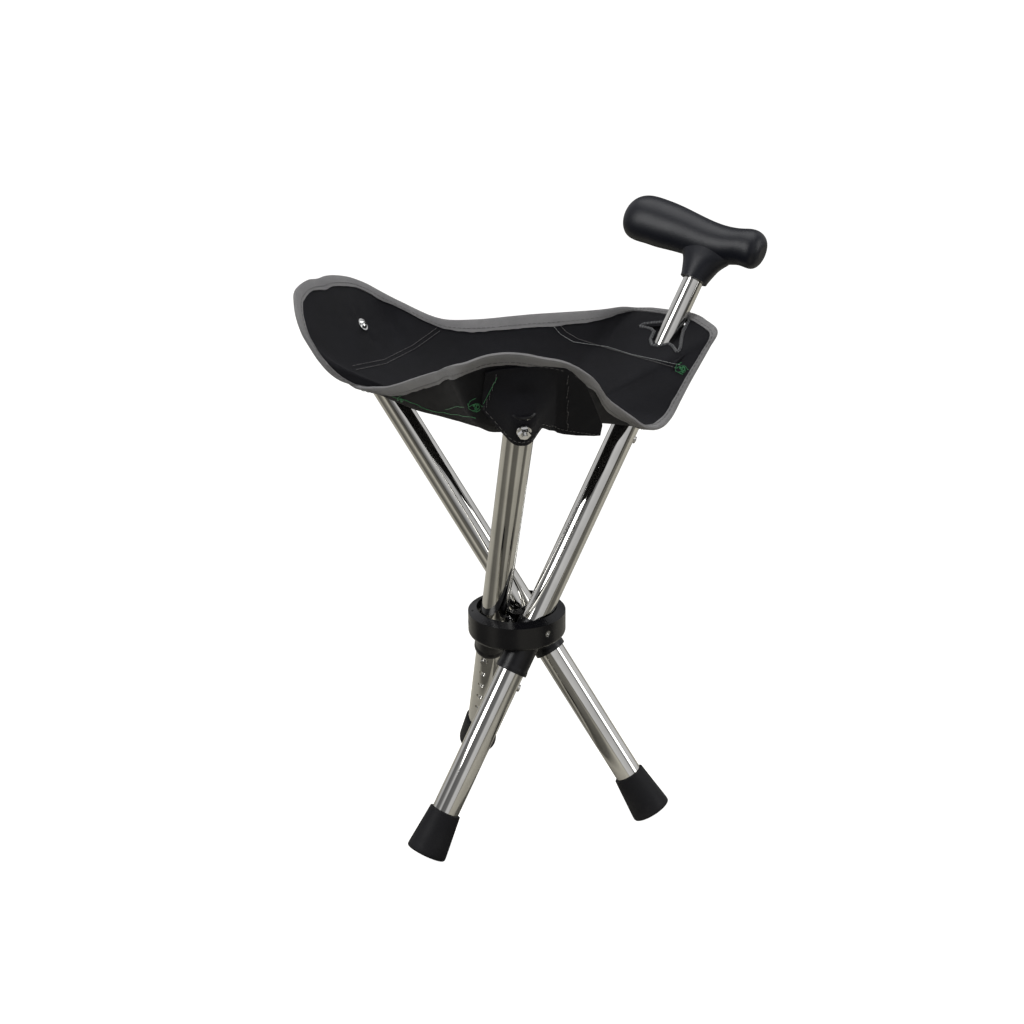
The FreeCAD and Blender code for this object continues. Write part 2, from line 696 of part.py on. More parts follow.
def seat_panel():
    ribs = seat_ribs()
    layers = []
    for depth in (0.0, size("cloth")):
        lines = []
        for rib in ribs:
            centre, belly, fold, edge = [point + under * depth for point, under in rib]
            arc = Part.Arc(centre, belly, fold).toShape()
            lines.append((arc, Part.LineSegment(fold, edge).toShape(), centre, edge))
        layers.append(lines)
    faces = []
    for lines in layers:
        for k, line in enumerate(lines):
            after = lines[(k + 1) % len(lines)]
            faces.append(Part.makeRuledSurface(line[0], after[0]))
            faces.append(Part.makeRuledSurface(line[1], after[1]))
        centres = [line[2] for line in lines]
        faces.append(Part.Face(Part.makePolygon(centres + centres[:1])))
    for k in range(len(ribs)):
        after = (k + 1) % len(ribs)
        here = Part.LineSegment(layers[0][k][3], layers[1][k][3]).toShape()
        there = Part.LineSegment(layers[0][after][3], layers[1][after][3]).toShape()
        faces.append(Part.makeRuledSurface(here, there))
    panel = sewn(faces)
    cane = legs["cane"]
    half = size("handle_radius") + size("slot_gap")
    deep = 2 * (size("slot_place") - size("cane_leg_top"))
    front = V(size("slot_front") - half, 0, size("cane_leg_top"))
    back = V(half - size("slot_back"), 0, size("cane_leg_top"))
    bar = Part.makeBox(front.x - back.x, 2 * half, deep, back - V(0, half, 0))
    slot = Part.makeCompound([
        bar, Part.makeCylinder(half, deep, front), Part.makeCylinder(half, deep, back),
    ])
    turn = FreeCAD.Rotation(V(0, 0, 1), size("slot_turn"))
    slot.Placement = cane.placement().multiply(FreeCAD.Placement(V(0, 0, 0), turn))
    for cutter in slot.Solids:
        panel = panel.cut(cutter)
    for name in ("left", "front"):
        panel = panel.cut(bolt_clearance(legs[name]))
    feature("seat_panel", panel)


def bolt_clearance(leg):
    reach = 3 * tube_radius
    base = leg.point(0, -reach, size("bolt_place"))
    radius = size("bolt_radius") + size("cloth_gap")
    return Part.makeCylinder(radius, 2 * reach, base, leg.side)


def seat_binding():
    """Tape folded over the whole edge of the panel."""
    gap = size("binding_gap")
    wall = size("binding_wall")
    cloth = size("cloth")
    corners = [
        (size("binding_width"), -gap - wall), (-gap - wall, -gap - wall),
        (-gap - wall, cloth + gap + wall), (size("binding_width"), cloth + gap + wall),
        (size("binding_width"), cloth + gap), (-gap, cloth + gap),
        (-gap, -gap), (size("binding_width"), -gap),
    ]
    rings = []
    for centre, belly, (fold, under), (edge, edge_under) in seat_ribs():
        inward = unit(fold - edge)
        rings.append([edge + inward * back + under * low for back, low in corners])
    feature("seat_binding", ruled_ring(rings))


def corner_pocket(name, leg):
    """The outer layer of a corner, sewn under its flap, that wraps the tube's outer side."""
    cloth = size("cloth")
    gap = size("cloth_gap")
    rise = size("pocket_rise")
    middle = 0.0
    if name == "cane":
        middle = size("cane_pocket_shift")
        half = size("cane_pocket_half_width")
        low = size("slot_place") - size("cane_pocket_drop")
        high = size("slot_place") + size("cane_pocket_reach")
        rise += size("cane_pocket_bulge")
        lean = math.tan(math.radians(size("cane_flap_lean")))
        stations = [(low, rise), ((low + high) / 2, rise), (high, rise)]
    else:
        half = size("pocket_half_width")
        low = size("bolt_place") - size("pocket_below_bolt")
        high = size("bolt_place") + size("pocket_above_bolt")
        lean = 0.0
        cap = leg_top + size("plug_cap") + gap
        stations = [(low, rise), (cap, rise), (high, rise - tube_radius)]
    wires = []
    for up, height in stations:
        if name == "cane":
            end = max((up - size("slot_place")) * lean + cloth + gap, -tube_radius)
        else:
            end = gap - tube_radius
        outer = [
            leg.point(middle + across, side, up)
            for across, side in ((-half, end + cloth), (0, height + cloth), (half, end + cloth))
        ]
        inner = [
            leg.point(middle + across, side, up)
            for across, side in ((half, end), (0, height), (-half, end))
        ]
        wires.append(Part.Wire([
            Part.Arc(*outer).toShape(),
            Part.LineSegment(outer[2], inner[0]).toShape(),
            Part.Arc(*inner).toShape(),
            Part.LineSegment(inner[2], outer[0]).toShape(),
        ]))
    pocket = Part.makeLoft(wires, True, True)
    if name != "cane":
        pocket = pocket.cut(bolt_clearance(leg))
    feature(name + "_corner_pocket", pocket)


hub_ring()
pivot_pins()
lock_screws()
for leg_name, one_leg in legs.items():
    leg_tube(leg_name, one_leg)
    leg_sleeve(leg_name, one_leg)
    extension_tube(leg_name, one_leg)
    foot(leg_name, one_leg)
    foot_plate(leg_name, one_leg)
    extension_bore = (
        tube_radius - size("tube_wall") - size("running_gap") - size("extension_wall")
    )
    button_end = tube_radius + size("button_reach")
    spring_clip(
        leg_name + "_leg_clip", one_leg, extension_bore, button_end, -size("first_hole")
    )
    corner_pocket(leg_name, one_leg)
    if leg_name != "cane":
        tube_end_cap(leg_name, one_leg)
        seat_bolt(leg_name, one_leg)
cane_leg = legs["cane"]
reducer_bush(cane_leg)
handle(cane_leg)
handle_bore = size("handle_radius") - size("handle_wall")
spring_clip("handle_clip", cane_leg, handle_bore, button_end, size("handle_button"))
grip(cane_leg)
seat_panel()
seat_binding()
document.recompute()

for item in document.Objects:
    problems = {"Invalid", "Error"} & set(item.State)
    if problems:
        raise RuntimeError(f"{item.Label} failed: {item.State}")
whole = FreeCAD.BoundBox()
for label, item in PARTS:
    if item.Shape.isNull() or not item.Shape.isValid() or item.Shape.Volume <= 0:
        raise RuntimeError(f"{label} has no valid shape")
    whole.add(item.Shape.optimalBoundingBox(True, False))

# The origin lies on the floor under the middle of the whole stool
centring = V(-whole.Center.x, -whole.Center.y, -whole.ZMin)
os.makedirs("parts", exist_ok=True)
for label, item in PARTS:
    moved = item.Placement.copy()
    moved.move(centring)
    item.Placement = moved
    item.Shape.exportStep(f"parts/{label}.step")
print("hub axis at", round(centring.x, 3), round(centring.y, 3))
print("pivot height", round(pivot_height + centring.z, 3), "lowest", round(whole.ZMin, 4))
print("box", [round(x, 2) for x in (whole.XLength, whole.YLength, whole.ZLength)])
print("volumes", {label: round(item.Shape.Volume) for label, item in PARTS})
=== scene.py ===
import json
import math

import bmesh
import bpy
import numpy as np
from mathutils import Matrix, Vector, noise
from mathutils.bvhtree import BVHTree


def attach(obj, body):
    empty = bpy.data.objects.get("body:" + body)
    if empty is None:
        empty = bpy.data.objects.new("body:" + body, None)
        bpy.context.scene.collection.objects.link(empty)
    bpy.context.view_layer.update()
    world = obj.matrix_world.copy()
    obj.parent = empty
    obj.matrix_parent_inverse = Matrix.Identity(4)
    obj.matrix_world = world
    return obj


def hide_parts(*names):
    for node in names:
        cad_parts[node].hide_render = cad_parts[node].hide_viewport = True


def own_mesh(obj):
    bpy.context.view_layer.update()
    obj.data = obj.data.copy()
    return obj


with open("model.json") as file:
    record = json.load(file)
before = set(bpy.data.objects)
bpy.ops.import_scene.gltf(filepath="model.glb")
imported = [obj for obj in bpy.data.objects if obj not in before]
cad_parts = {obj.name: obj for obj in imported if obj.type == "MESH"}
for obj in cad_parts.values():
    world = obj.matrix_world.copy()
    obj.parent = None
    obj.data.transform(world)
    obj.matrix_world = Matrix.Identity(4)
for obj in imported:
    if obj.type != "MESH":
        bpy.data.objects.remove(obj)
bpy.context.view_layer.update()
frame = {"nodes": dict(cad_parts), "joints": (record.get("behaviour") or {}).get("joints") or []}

MM = 0.001
UP = Vector((0, 0, 1))
JOINTS = {joint["name"]: joint for joint in frame["joints"]}

# Sizes of the stool that the pieces here fit, in millimetres
TUBE_RADIUS = 12.7
CLOTH = 1.4
FLAP_REST = 13.8
BOLT_PLACE = 308.5
SLOT_PLACE = 301.0
SEAT_LOW = 200.0
LEG_TILT = math.radians(33.8)
CANE_FLAP_SLOPE = math.tan(math.radians(25.2))
TAPE_WIDTH = 7.0
TAPE_THICKNESS = 0.9

# The slot in the cane corner: its turn and bend, the cloth's rise and lean round it, and its
# half width at places along it, counted from the handle tube's axis
SLOT_TURN = math.radians(-6)
SLOT_BEND = -6.0
SLOT_LIFT = 1.5
SLOT_LEAN = 0.08
SLOT_PLACES = (-32, -31, -25, -18, -12, -6, 0, 6, 12, 18, 23, 27, 28)
SLOT_HALVES = (0.4, 1.2, 2.0, 2.8, 4.2, 9.2, 10.6, 9.2, 4.2, 2.8, 2.0, 1.2, 0.4)
SLOT_BEND_REACH = 30
SLOT_LIFT_REACH = 24
SLOT_LEAN_REACH = 22
SLOT_LEAN_SPAN = 55

# How far each corner's bed rises over the seat's lowest point, how steeply, and the width
# over which it passes into the flap
BEDS = {"cane": (8, 2, 9.0), "left": (70, 1.9, 12.0), "front": (70, 1.9, 12.0)}
EDGE_PULL = 6


class Leg:
    """A leg's own directions at rest: along its pin, its outer side, and up the tube."""

    def __init__(self, name):
        fold = JOINTS[name + "_fold"]
        self.pivot = Vector(fold["pos_m"])
        self.out = Vector(fold["axis"]).normalized()
        self.up = -Vector(JOINTS[name + "_extension_slide"]["axis"]).normalized()
        self.side = self.up.cross(self.out)
        self.along = UP.cross(self.out)

    def point(self, across, side, up):
        return self.pivot + (self.out * across + self.side * side + self.up * up) * MM


LEGS = {name: Leg(name) for name in ("cane", "left", "front")}
HUB = sum((leg.pivot for leg in LEGS.values()), Vector()) / 3


def named(name, points, faces, material, smooth=True):
    """A mesh piece from points in metres, smooth but for its sharp edges."""
    mesh = bpy.data.meshes.new(name)
    mesh.from_pydata([tuple(p) for p in points], [], faces)
    mesh.update()
    piece = bpy.data.objects.new(name, mesh)
    bpy.context.scene.collection.objects.link(piece)
    mesh.materials.append(material)
    if smooth:
        mesh.polygons.foreach_set("use_smooth", [True] * len(mesh.polygons))
        mesh.set_sharp_from_angle(angle=math.radians(50))
    return piece


# Materials. Each helper adds one node or a short chain and gives back its output socket.
class Shader:
    def __init__(self, name):
        self.material = bpy.data.materials.new(name)
        self.material.use_nodes = True
        self.tree = self.material.node_tree
        self.surface = self.tree.nodes["Principled BSDF"]
        self.place = self.add("ShaderNodeTexCoord").outputs["Object"]
        self.uv = self.add("ShaderNodeTexCoord").outputs["UV"]

    def add(self, kind, **settings):
        node = self.tree.nodes.new(kind)
        for key, value in settings.items():
            setattr(node, key, value)
        return node

    def link(self, start, end):
        self.tree.links.new(start, end)

    def set(self, **values):
        for key, value in values.items():
            self.surface.inputs[key.replace("_", " ")].default_value = value

    def noise(self, scale, detail=4.0, rough=0.55, stretch=None):
        node = self.add("ShaderNodeTexNoise")
        node.inputs["Scale"].default_value = scale
        node.inputs["Detail"].default_value = detail
        node.inputs["Roughness"].default_value = rough
        source = self.place
        if stretch:
            mapping = self.add("ShaderNodeMapping")
            mapping.inputs["Scale"].default_value = stretch
            self.link(source, mapping.inputs["Vector"])
            source = mapping.outputs["Vector"]
        self.link(source, node.inputs["Vector"])
        return node.outputs["Fac"]

    def wave(self, scale, direction, distortion):
        node = self.add("ShaderNodeTexWave", bands_direction=direction)
        node.inputs["Scale"].default_value = scale
        node.inputs["Distortion"].default_value = distortion
        node.inputs["Detail Scale"].default_value = 3.0
        self.link(self.uv, node.inputs["Vector"])
        return node.outputs["Fac"]

    def ramp(self, factor, *stops):
        node = self.add("ShaderNodeValToRGB")
        while len(node.color_ramp.elements) < len(stops):
            node.color_ramp.elements.new(0.5)
        for element, (place, colour) in zip(node.color_ramp.elements, stops):
            element.position = place
            element.color = (*colour, 1.0)
        self.link(factor, node.inputs["Fac"])
        return node.outputs["Color"]

    def math(self, operation, first, second):
        node = self.add("ShaderNodeMath", operation=operation)
        for socket, value in zip(node.inputs, (first, second)):
            if isinstance(value, (int, float)):
                socket.default_value = value
            else:
                self.link(value, socket)
        return node.outputs["Value"]

    def mix(self, factor, first, second):
        node = self.add("ShaderNodeMix", data_type="RGBA")
        for key, value in (("Factor", factor), ("A", first), ("B", second)):
            socket = next(
                s for s in node.inputs
                if s.name == key and (s.type == ("VALUE" if key == "Factor" else "RGBA"))
            )
            if hasattr(value, "is_output"):
                self.link(value, socket)
            elif key == "Factor":
                socket.default_value = value
            else:
                socket.default_value = (*value, 1.0)
        return next(s for s in node.outputs if s.type == "RGBA")

    def bump(self, height, strength, distance, before=None):
        node = self.add("ShaderNodeBump")
        node.inputs["Strength"].default_value = strength
        node.inputs["Distance"].default_value = distance
        self.link(height, node.inputs["Height"])
        if before:
            self.link(before, node.inputs["Normal"])
        return node.outputs["Normal"]

    def colour(self, socket):
        self.link(socket, self.surface.inputs["Base Color"])

    def roughness(self, socket):
        self.link(socket, self.surface.inputs["Roughness"])

    def normal(self, socket):
        self.link(socket, self.surface.inputs["Normal"])


def grey(value):
    return (value, value, value)


def chrome(name, tone, base_rough, scuff):
    """Polished plated tube: faint drawing lines, smudges and a few duller, scuffed patches."""
    shader = Shader(name)
    shader.set(Metallic=1.0)
    smudge = shader.noise(26.0, 6.0, 0.6)
    shader.colour(shader.ramp(
        smudge, (0.3, tuple(c * 0.86 for c in tone)), (0.62, tone)
    ))
    lines = shader.noise(60.0, 2.0, 0.5, stretch=(6.0, 6.0, 0.25))
    worn = shader.ramp(shader.noise(9.0, 8.0, 0.7), (0.5, grey(0.0)), (0.72, grey(1.0)))
    rough = shader.math("MULTIPLY", lines, 0.03)
    shader.roughness(shader.math(
        "ADD", shader.math("MULTIPLY", worn, scuff), shader.math("ADD", rough, base_rough)
    ))
    shader.normal(shader.bump(shader.noise(120.0, 2.0), 0.006, 0.0003))
    return shader.material


def moulded(name, tone, rough, grain, scale):
    """Moulded black plastic: fine spark grain, slight sheen changes and pale dust in the grain."""
    shader = Shader(name)
    dust = shader.ramp(shader.noise(14.0, 8.0, 0.7), (0.45, grey(0.0)), (0.85, grey(1.0)))
    shader.colour(shader.mix(shader.math("MULTIPLY", dust, 0.12), tone, grey(0.08)))
    shader.set(Specular_IOR_Level=0.4)
    shader.roughness(shader.math(
        "ADD", shader.math("MULTIPLY", shader.noise(30.0, 5.0), 0.18), rough - 0.09
    ))
    fine = shader.bump(shader.noise(scale, 4.0, 0.6), grain, 0.0004)
    shader.normal(shader.bump(shader.noise(40.0, 3.0), 0.08, 0.0012, fine))
    return shader.material


def rubber():
    """Foot rubber: matt, with pale floor dust and scuffs towards the sole."""
    shader = Shader("foot_rubber_worn")
    height = shader.add("ShaderNodeSeparateXYZ")
    shader.link(shader.place, height.inputs["Vector"])
    low = shader.ramp(
        shader.math("MULTIPLY", height.outputs["Z"], 20.0), (0.05, grey(1.0)), (0.75, grey(0.0))
    )
    patches = shader.ramp(shader.noise(38.0, 8.0, 0.75), (0.42, grey(0.0)), (0.75, grey(1.0)))
    worn = shader.math("MULTIPLY", shader.math("MULTIPLY", low, patches), 0.45)
    shader.colour(shader.mix(worn, (0.006, 0.006, 0.008), (0.07, 0.068, 0.066)))
    shader.set(Specular_IOR_Level=0.3)
    shader.roughness(shader.math(
        "ADD", shader.math("MULTIPLY", shader.noise(60.0, 4.0), 0.2), 0.5
    ))
    fine = shader.bump(shader.noise(1400.0, 3.0), 0.16, 0.0003)
    shader.normal(shader.bump(shader.noise(90.0, 5.0), 0.12, 0.0008, fine))
    return shader.material


def woven(name, dark, light, thread, depth, sheen):
    """Plain weave: two crossed sets of threads in the piece's own flat coordinates, in metres,
    with a painted highlight on their crowns.
    """
    shader = Shader(name)
    across = shader.wave(thread, "X", 0.15)
    along = shader.wave(thread, "Y", 0.15)
    weave = shader.math("MAXIMUM", across, along)
    cloud = shader.noise(22.0, 6.0, 0.62)
    lint = shader.ramp(shader.noise(420.0, 5.0, 0.8), (0.66, grey(0.0)), (0.8, grey(1.0)))
    base = shader.ramp(cloud, (0.32, dark), (0.7, light))
    # Painted highlight: where the threads rise, the colour is painted up toward 1.9 times the
    # light tone
    colour_with_painted_highlight = shader.mix(shader.math("MULTIPLY", weave, 0.35), base, tuple(c * 1.9 for c in light))
    shader.colour(shader.mix(
        shader.math("MULTIPLY", lint, 0.18), colour_with_painted_highlight, tuple(min(1.0, c * 6 + 0.05) for c in light)
    ))
    shader.set(Sheen_Weight=sheen, Sheen_Roughness=0.5, Roughness=0.75)
    shader.set(Specular_IOR_Level=0.22)
    crumple = shader.bump(shader.noise(85.0, 6.0, 0.6), 0.3, 0.0018)
    shader.normal(shader.bump(weave, depth, 0.0003, crumple))
    return shader.material


def thread_material(name, dark, light):
    """Twisted sewing thread, dark and light along its length."""
    shader = Shader(name)
    twist = shader.noise(1500.0, 2.0, 0.5)
    shader.colour(shader.ramp(twist, (0.35, dark), (0.65, light)))
    shader.set(Roughness=0.6, Sheen_Weight=0.3)
    shader.normal(shader.bump(twist, 0.4, 0.0002))
    return shader.material


PLASTIC = moulded("hub_plastic", (0.004, 0.004, 0.0055), 0.24, 0.12, 1500.0)
SLEEVE_PLASTIC = moulded("sleeve_plastic", (0.005, 0.005, 0.007), 0.32, 0.15, 1400.0)
GRIP_PLASTIC = moulded("grip_plastic_fine", (0.0055, 0.0065, 0.0115), 0.38, 0.22, 1100.0)
CHROME = chrome("chromed_tube_used", (0.8, 0.79, 0.755), 0.015, 0.04)
BRIGHT = chrome("polished_fasteners", (0.86, 0.86, 0.85), 0.08, 0.1)
STEEL = chrome("plain_steel_parts", (0.55, 0.54, 0.52), 0.28, 0.2)
RUBBER = rubber()
CLOTH_BLACK = woven(
    "seat_cloth_black", (0.0034, 0.0033, 0.0042), (0.0066, 0.0067, 0.0092), 700.0, 0.5, 0.015
)
TAPE_GREY = woven("binding_tape_grey", (0.13, 0.13, 0.135), (0.235, 0.23, 0.23), 520.0, 0.7, 0.2)
TAPE_DARK = woven("slot_edging_dark", (0.03, 0.03, 0.032), (0.075, 0.075, 0.08), 520.0, 0.6, 0.15)
THREAD_BLACK = thread_material("sewing_thread_grey", (0.05, 0.05, 0.05), (0.17, 0.165, 0.16))
THREAD_PALE = thread_material("sewing_thread_pale", (0.16, 0.17, 0.17), (0.42, 0.44, 0.43))
THREAD_GREEN = thread_material("thread_ends_green", (0.015, 0.16, 0.05), (0.06, 0.42, 0.14))

FINISH = {
    "hub_ring": PLASTIC, "leg_sleeve": SLEEVE_PLASTIC, "handle_guide": SLEEVE_PLASTIC,
    "reducer_bush": SLEEVE_PLASTIC, "end_cap": SLEEVE_PLASTIC, "handle_grip": GRIP_PLASTIC,
    "rubber_foot": RUBBER, "foot_plate": STEEL, "clip": STEEL, "tube": CHROME,
    "seat_bolt": BRIGHT, "seat_washers": BRIGHT, "seat_nut": BRIGHT, "pivot_pins": BRIGHT,
    "pin_lock_screws": BRIGHT,
}
for node in frame["nodes"]:
    for words, material in FINISH.items():
        if words in node:
            for slot in bpy.data.objects[node].material_slots:
                slot.material = material

# The seat's edge, seen from above and turning left, from each corner to the next, measured
# from the hub's axis and pivot height. The last number says how far a point lies on its
# corner's flat flap (1) or on the free edge between two corners (0).
EDGE = [
    ("cane", 189, 40, 258, 1.0), ("cane", 193, 21, 261, 1.0), ("cane", 195, -25, 265, 1.0),
    ("cane", 192, -48, 263, 1.0), ("cane", 188, -65, 257, 1.0), ("cane", 175, -68, 245, 0.75),
    ("cane", 160, -71, 232, 0.5), ("cane", 145, -74, 219, 0.3), ("cane", 131, -77, 206, 0.12),
    ("cane", 116, -81, 194, 0.0), ("cane", 97, -87, 190, 0.0), ("front", 75, -94, 196, 0.0),
    ("front", 48, -105, 212, 0.0), ("front", 6, -123, 239, 0.0), ("front", -25, -144, 262, 0.35),
    ("front", -46, -161, 277, 0.85), ("front", -63, -168, 289, 1.0),
    ("front", -83, -167, 301, 1.0), ("front", -104, -160, 308, 1.0),
    ("front", -124, -151, 313, 1.0), ("front", -140, -141, 312, 1.0),
    ("front", -153, -129, 306, 1.0), ("front", -153, -112, 300, 0.9),
    ("front", -143, -88, 291, 0.5), ("front", -128, -55, 277, 0.12),
    ("front", -118, -12, 260, 0.0), ("left", -112, 30, 243, 0.0), ("left", -111, 57, 235, 0.05),
    ("left", -116, 75, 233, 0.3), ("left", -130, 87, 240, 0.75), ("left", -142, 97, 256, 1.0),
    ("left", -148, 110, 277, 1.0), ("left", -146, 124, 294, 1.0), ("left", -138, 139, 307, 1.0),
    ("left", -127, 149, 311, 1.0), ("left", -112, 158, 312, 1.0), ("left", -98, 164, 310, 1.0),
    ("left", -83, 172, 309, 1.0), ("left", -62, 181, 304, 1.0), ("left", -43, 187, 297, 1.0),
    ("left", -22, 186, 286, 0.9), ("left", -4, 165, 273, 0.5), ("left", 18, 136, 259, 0.15),
    ("left", 42, 113, 258, 0.0), ("cane", 76, 87, 261, 0.0), ("cane", 108, 64, 263, 0.15),
    ("cane", 140, 48, 263, 0.5), ("cane", 166, 43, 261, 0.85),
]
STEPS_ROUND = 540
STEPS_OUT = 46
CURVE_STEPS = 24


def closed_curve(rows, count):
    """Points along a smooth closed curve through the rows, evenly spaced in its length."""
    rows = np.asarray(rows, float)
    ahead = np.roll(rows, -1, 0)
    behind = np.roll(rows, 1, 0)
    further = np.roll(rows, -2, 0)
    pieces = []
    for share in np.linspace(0, 1, CURVE_STEPS, endpoint=False):
        cube = share * share * share
        square = share * share
        pieces.append(0.5 * (
            (2 * rows) + (ahead - behind) * share
            + (2 * behind - 5 * rows + 4 * ahead - further) * square
            + (3 * rows - behind - 3 * ahead + further) * cube
        ))
    dense = np.stack(pieces, 1).reshape(-1, rows.shape[1])
    loop = np.vstack([dense, dense[:1]])
    length = np.concatenate([[0], np.cumsum(np.linalg.norm(np.diff(loop[:, :3], axis=0), axis=1))])
    wanted = np.linspace(0, length[-1], count, endpoint=False)
    return np.stack([np.interp(wanted, length, column) for column in loop.T], 1), length[-1]


def smooth_step(value):
    """From 0 to 1 with no kink at either end."""
    value = np.clip(value, 0.0, 1.0)
    return value * value * (3 - 2 * value)


def soft_max(first, second, width):
    """The higher of two heights, with their crossing rounded over a width."""
    apart = np.clip(0.5 + 0.5 * (first - second) / width, 0, 1)
    return second * (1 - apart) + first * apart + width * apart * (1 - apart)


def cane_flap_height(past_slot):
    """The cane corner's slope, a little lifted where the handle tube passes through."""
    height = SLOT_PLACE * math.cos(LEG_TILT) + past_slot * CANE_FLAP_SLOPE
    return height + SLOT_LIFT * np.exp(-((past_slot / SLOT_LIFT_REACH) ** 2))


def flap_height(reach):
    """The inner face of a left or front flap, which lies along its tube."""
    return (reach * math.cos(LEG_TILT) + FLAP_REST) / math.sin(LEG_TILT)


class SeatSurface:
    """The cloth's middle surface: round the edge from 0 to 1, and from its middle out to 1."""

    def __init__(self):
        rows = [[*row[1:], *(float(row[0] == name) for name in LEGS)] for row in EDGE]
        self.edge, self.length = closed_curve(rows, STEPS_ROUND)

    def at(self, around, out):
        """Points for arrays of places round the edge (any real number) and outwards."""
        place = (np.asarray(around, float) % 1.0) * STEPS_ROUND
        low = np.floor(place).astype(int) % STEPS_ROUND
        part = (place - np.floor(place))[..., None]
        row = self.edge[low] * (1 - part) + self.edge[(low + 1) % STEPS_ROUND] * part
        out = np.asarray(out, float)
        x, y = row[..., 0] * out, row[..., 1] * out
        end = row[..., 2]
        height = SEAT_LOW + (end - SEAT_LOW) * (0.35 * out**2 + 0.65 * out**4.2)
        for k, (name, leg) in enumerate(LEGS.items()):
            reach = x * leg.along.x + y * leg.along.y
            edge_reach = row[..., 0] * leg.along.x + row[..., 1] * leg.along.y
            if name == "cane":
                slot_reach = SLOT_PLACE * math.sin(LEG_TILT)
                past_slot = reach - slot_reach
                beside = -x * leg.along.y + y * leg.along.x
                level = cane_flap_height(past_slot)
                level = level + SLOT_LEAN * beside * np.exp(
                    -((past_slot / SLOT_LEAN_REACH) ** 2) - (beside / SLOT_LEAN_SPAN) ** 4
                )
                level_end = cane_flap_height(edge_reach - slot_reach)
            else:
                level = flap_height(reach)
                level_end = flap_height(edge_reach)
            rise, power, rounding = BEDS[name]
            flap = soft_max(level, SEAT_LOW + rise * out**power, rounding)
            flap += (end - soft_max(level_end, SEAT_LOW + rise, rounding)) * out**EDGE_PULL
            weight = row[..., 3] * row[..., 4 + k]
            height = height * (1 - weight) + flap * weight
        return np.stack([x, y, height], -1)

    def frame(self, around, out):
        """Points with their upper normals and outward directions, as arrays."""
        step = 0.0015
        around = np.asarray(around, float)
        out = np.asarray(out, float)
        point = self.at(around, out)
        outward = self.at(around, out + step) - self.at(around, out - step)
        round_way = self.at(around + step, out) - self.at(around - step, out)
        normal = np.cross(outward, round_way)
        normal /= np.maximum(np.linalg.norm(normal, axis=-1, keepdims=True), 1e-9)
        outward /= np.maximum(np.linalg.norm(outward, axis=-1, keepdims=True), 1e-9)
        return point, normal, outward

    def ribs(self, around):
        """Length from the seat's middle to its edge."""
        return np.linalg.norm(self.at(around, np.ones_like(around)) - [0, 0, SEAT_LOW], axis=-1)


def wrinkle(points):
    """Small folds of the cloth, in millimetres along its normal."""
    heights = []
    for x, y, z in points.reshape(-1, 3):
        broad = noise.noise(Vector((x / 46, y / 46, z / 40)))
        narrow = noise.noise(Vector((x / 17 + 7, y / 17, z / 15)))
        heights.append(1.3 * broad + 0.45 * narrow)
    return np.array(heights).reshape(points.shape[:-1])


SEAT = SeatSurface()


def bolt_pull(points):
    """Each seat bolt draws the cloth in: a dimple with short creases running out of it."""
    pull = np.zeros(points.shape[:-1])
    for name in ("left", "front"):
        leg = LEGS[name]
        bolt = np.array((leg.point(0, -FLAP_REST, BOLT_PLACE) - HUB) / MM)
        offset = points - bolt
        across = offset @ np.array(leg.out)
        up = offset @ np.array(leg.up)
        away = np.hypot(across, up)
        angle = np.arctan2(up, across)
        creases = 0.5 + 0.5 * np.cos(5 * angle + 0.8)
        ring = np.exp(-(((away - 13) / 9) ** 2))
        pull += ring * (1.6 * creases - 0.5)
    return pull


def to_world(points):
    """Seat points, in millimetres from the hub, as world points in metres."""
    return points.reshape(-1, 3) * MM + np.array(HUB)


def place_of(direction):
    """The place round the edge that lies in a plan direction."""
    angle = np.arctan2(SEAT.edge[:, 1], SEAT.edge[:, 0])
    away = np.angle(np.exp(1j * (angle - math.atan2(direction.y, direction.x))))
    return int(np.argmin(np.abs(away)))


# Where the three cloth pieces meet, each opposite a corner, as places round the edge
MEETINGS = {name: place_of(-leg.along) for name, leg in LEGS.items()}


def stretch_of(name):
    """The places round the edge that one leg's cloth covers, first and last included."""
    others = [other for other in LEGS if other != name]
    ends = [MEETINGS[other] for other in others]
    here = place_of(LEGS[name].along)
    start, stop = sorted(ends, key=lambda end: (here - end) % STEPS_ROUND)
    span = (stop - start) % STEPS_ROUND
    return np.arange(start, start + span + 1)


def creased(points, normals):
    """The middle surface with its small folds and the creases round the bolts."""
    lift = wrinkle(points) + bolt_pull(points)
    return points + normals * lift[..., None]


def cloth_piece(name):
    """One leg's share of the sling: both faces, its outer rim and its two cut sides."""
    rows = stretch_of(name)
    around = rows[:, None] / STEPS_ROUND
    out = np.linspace(0.012, 1.0, STEPS_OUT)[None, :]
    around, out = np.broadcast_arrays(around, out)
    points, normals, _ = SEAT.frame(around, out)
    middle = creased(points, normals)
    upper = middle + normals * (CLOTH / 2)
    lower = middle - normals * (CLOTH / 2)
    count, width = around.shape
    top = np.arange(count * width).reshape(count, width)
    under = top + count * width
    faces = []
    for i in range(count - 1):
        for j in range(width - 1):
            faces.append((top[i, j], top[i, j + 1], top[i + 1, j + 1], top[i + 1, j]))
            faces.append((under[i, j], under[i + 1, j], under[i + 1, j + 1], under[i, j + 1]))
        faces.append((top[i, -1], under[i, -1], under[i + 1, -1], top[i + 1, -1]))
        faces.append((top[i, 0], top[i + 1, 0], under[i + 1, 0], under[i, 0]))
    for j in range(width - 1):
        faces.append((top[0, j], under[0, j], under[0, j + 1], top[0, j + 1]))
        faces.append((top[-1, j], top[-1, j + 1], under[-1, j + 1], under[-1, j]))
    verts = np.vstack([to_world(upper), to_world(lower)])
    piece = named(name + "_seat_cloth", verts, [tuple(map(int, f)) for f in faces], CLOTH_BLACK)
    flat_coordinates(piece)
    return piece


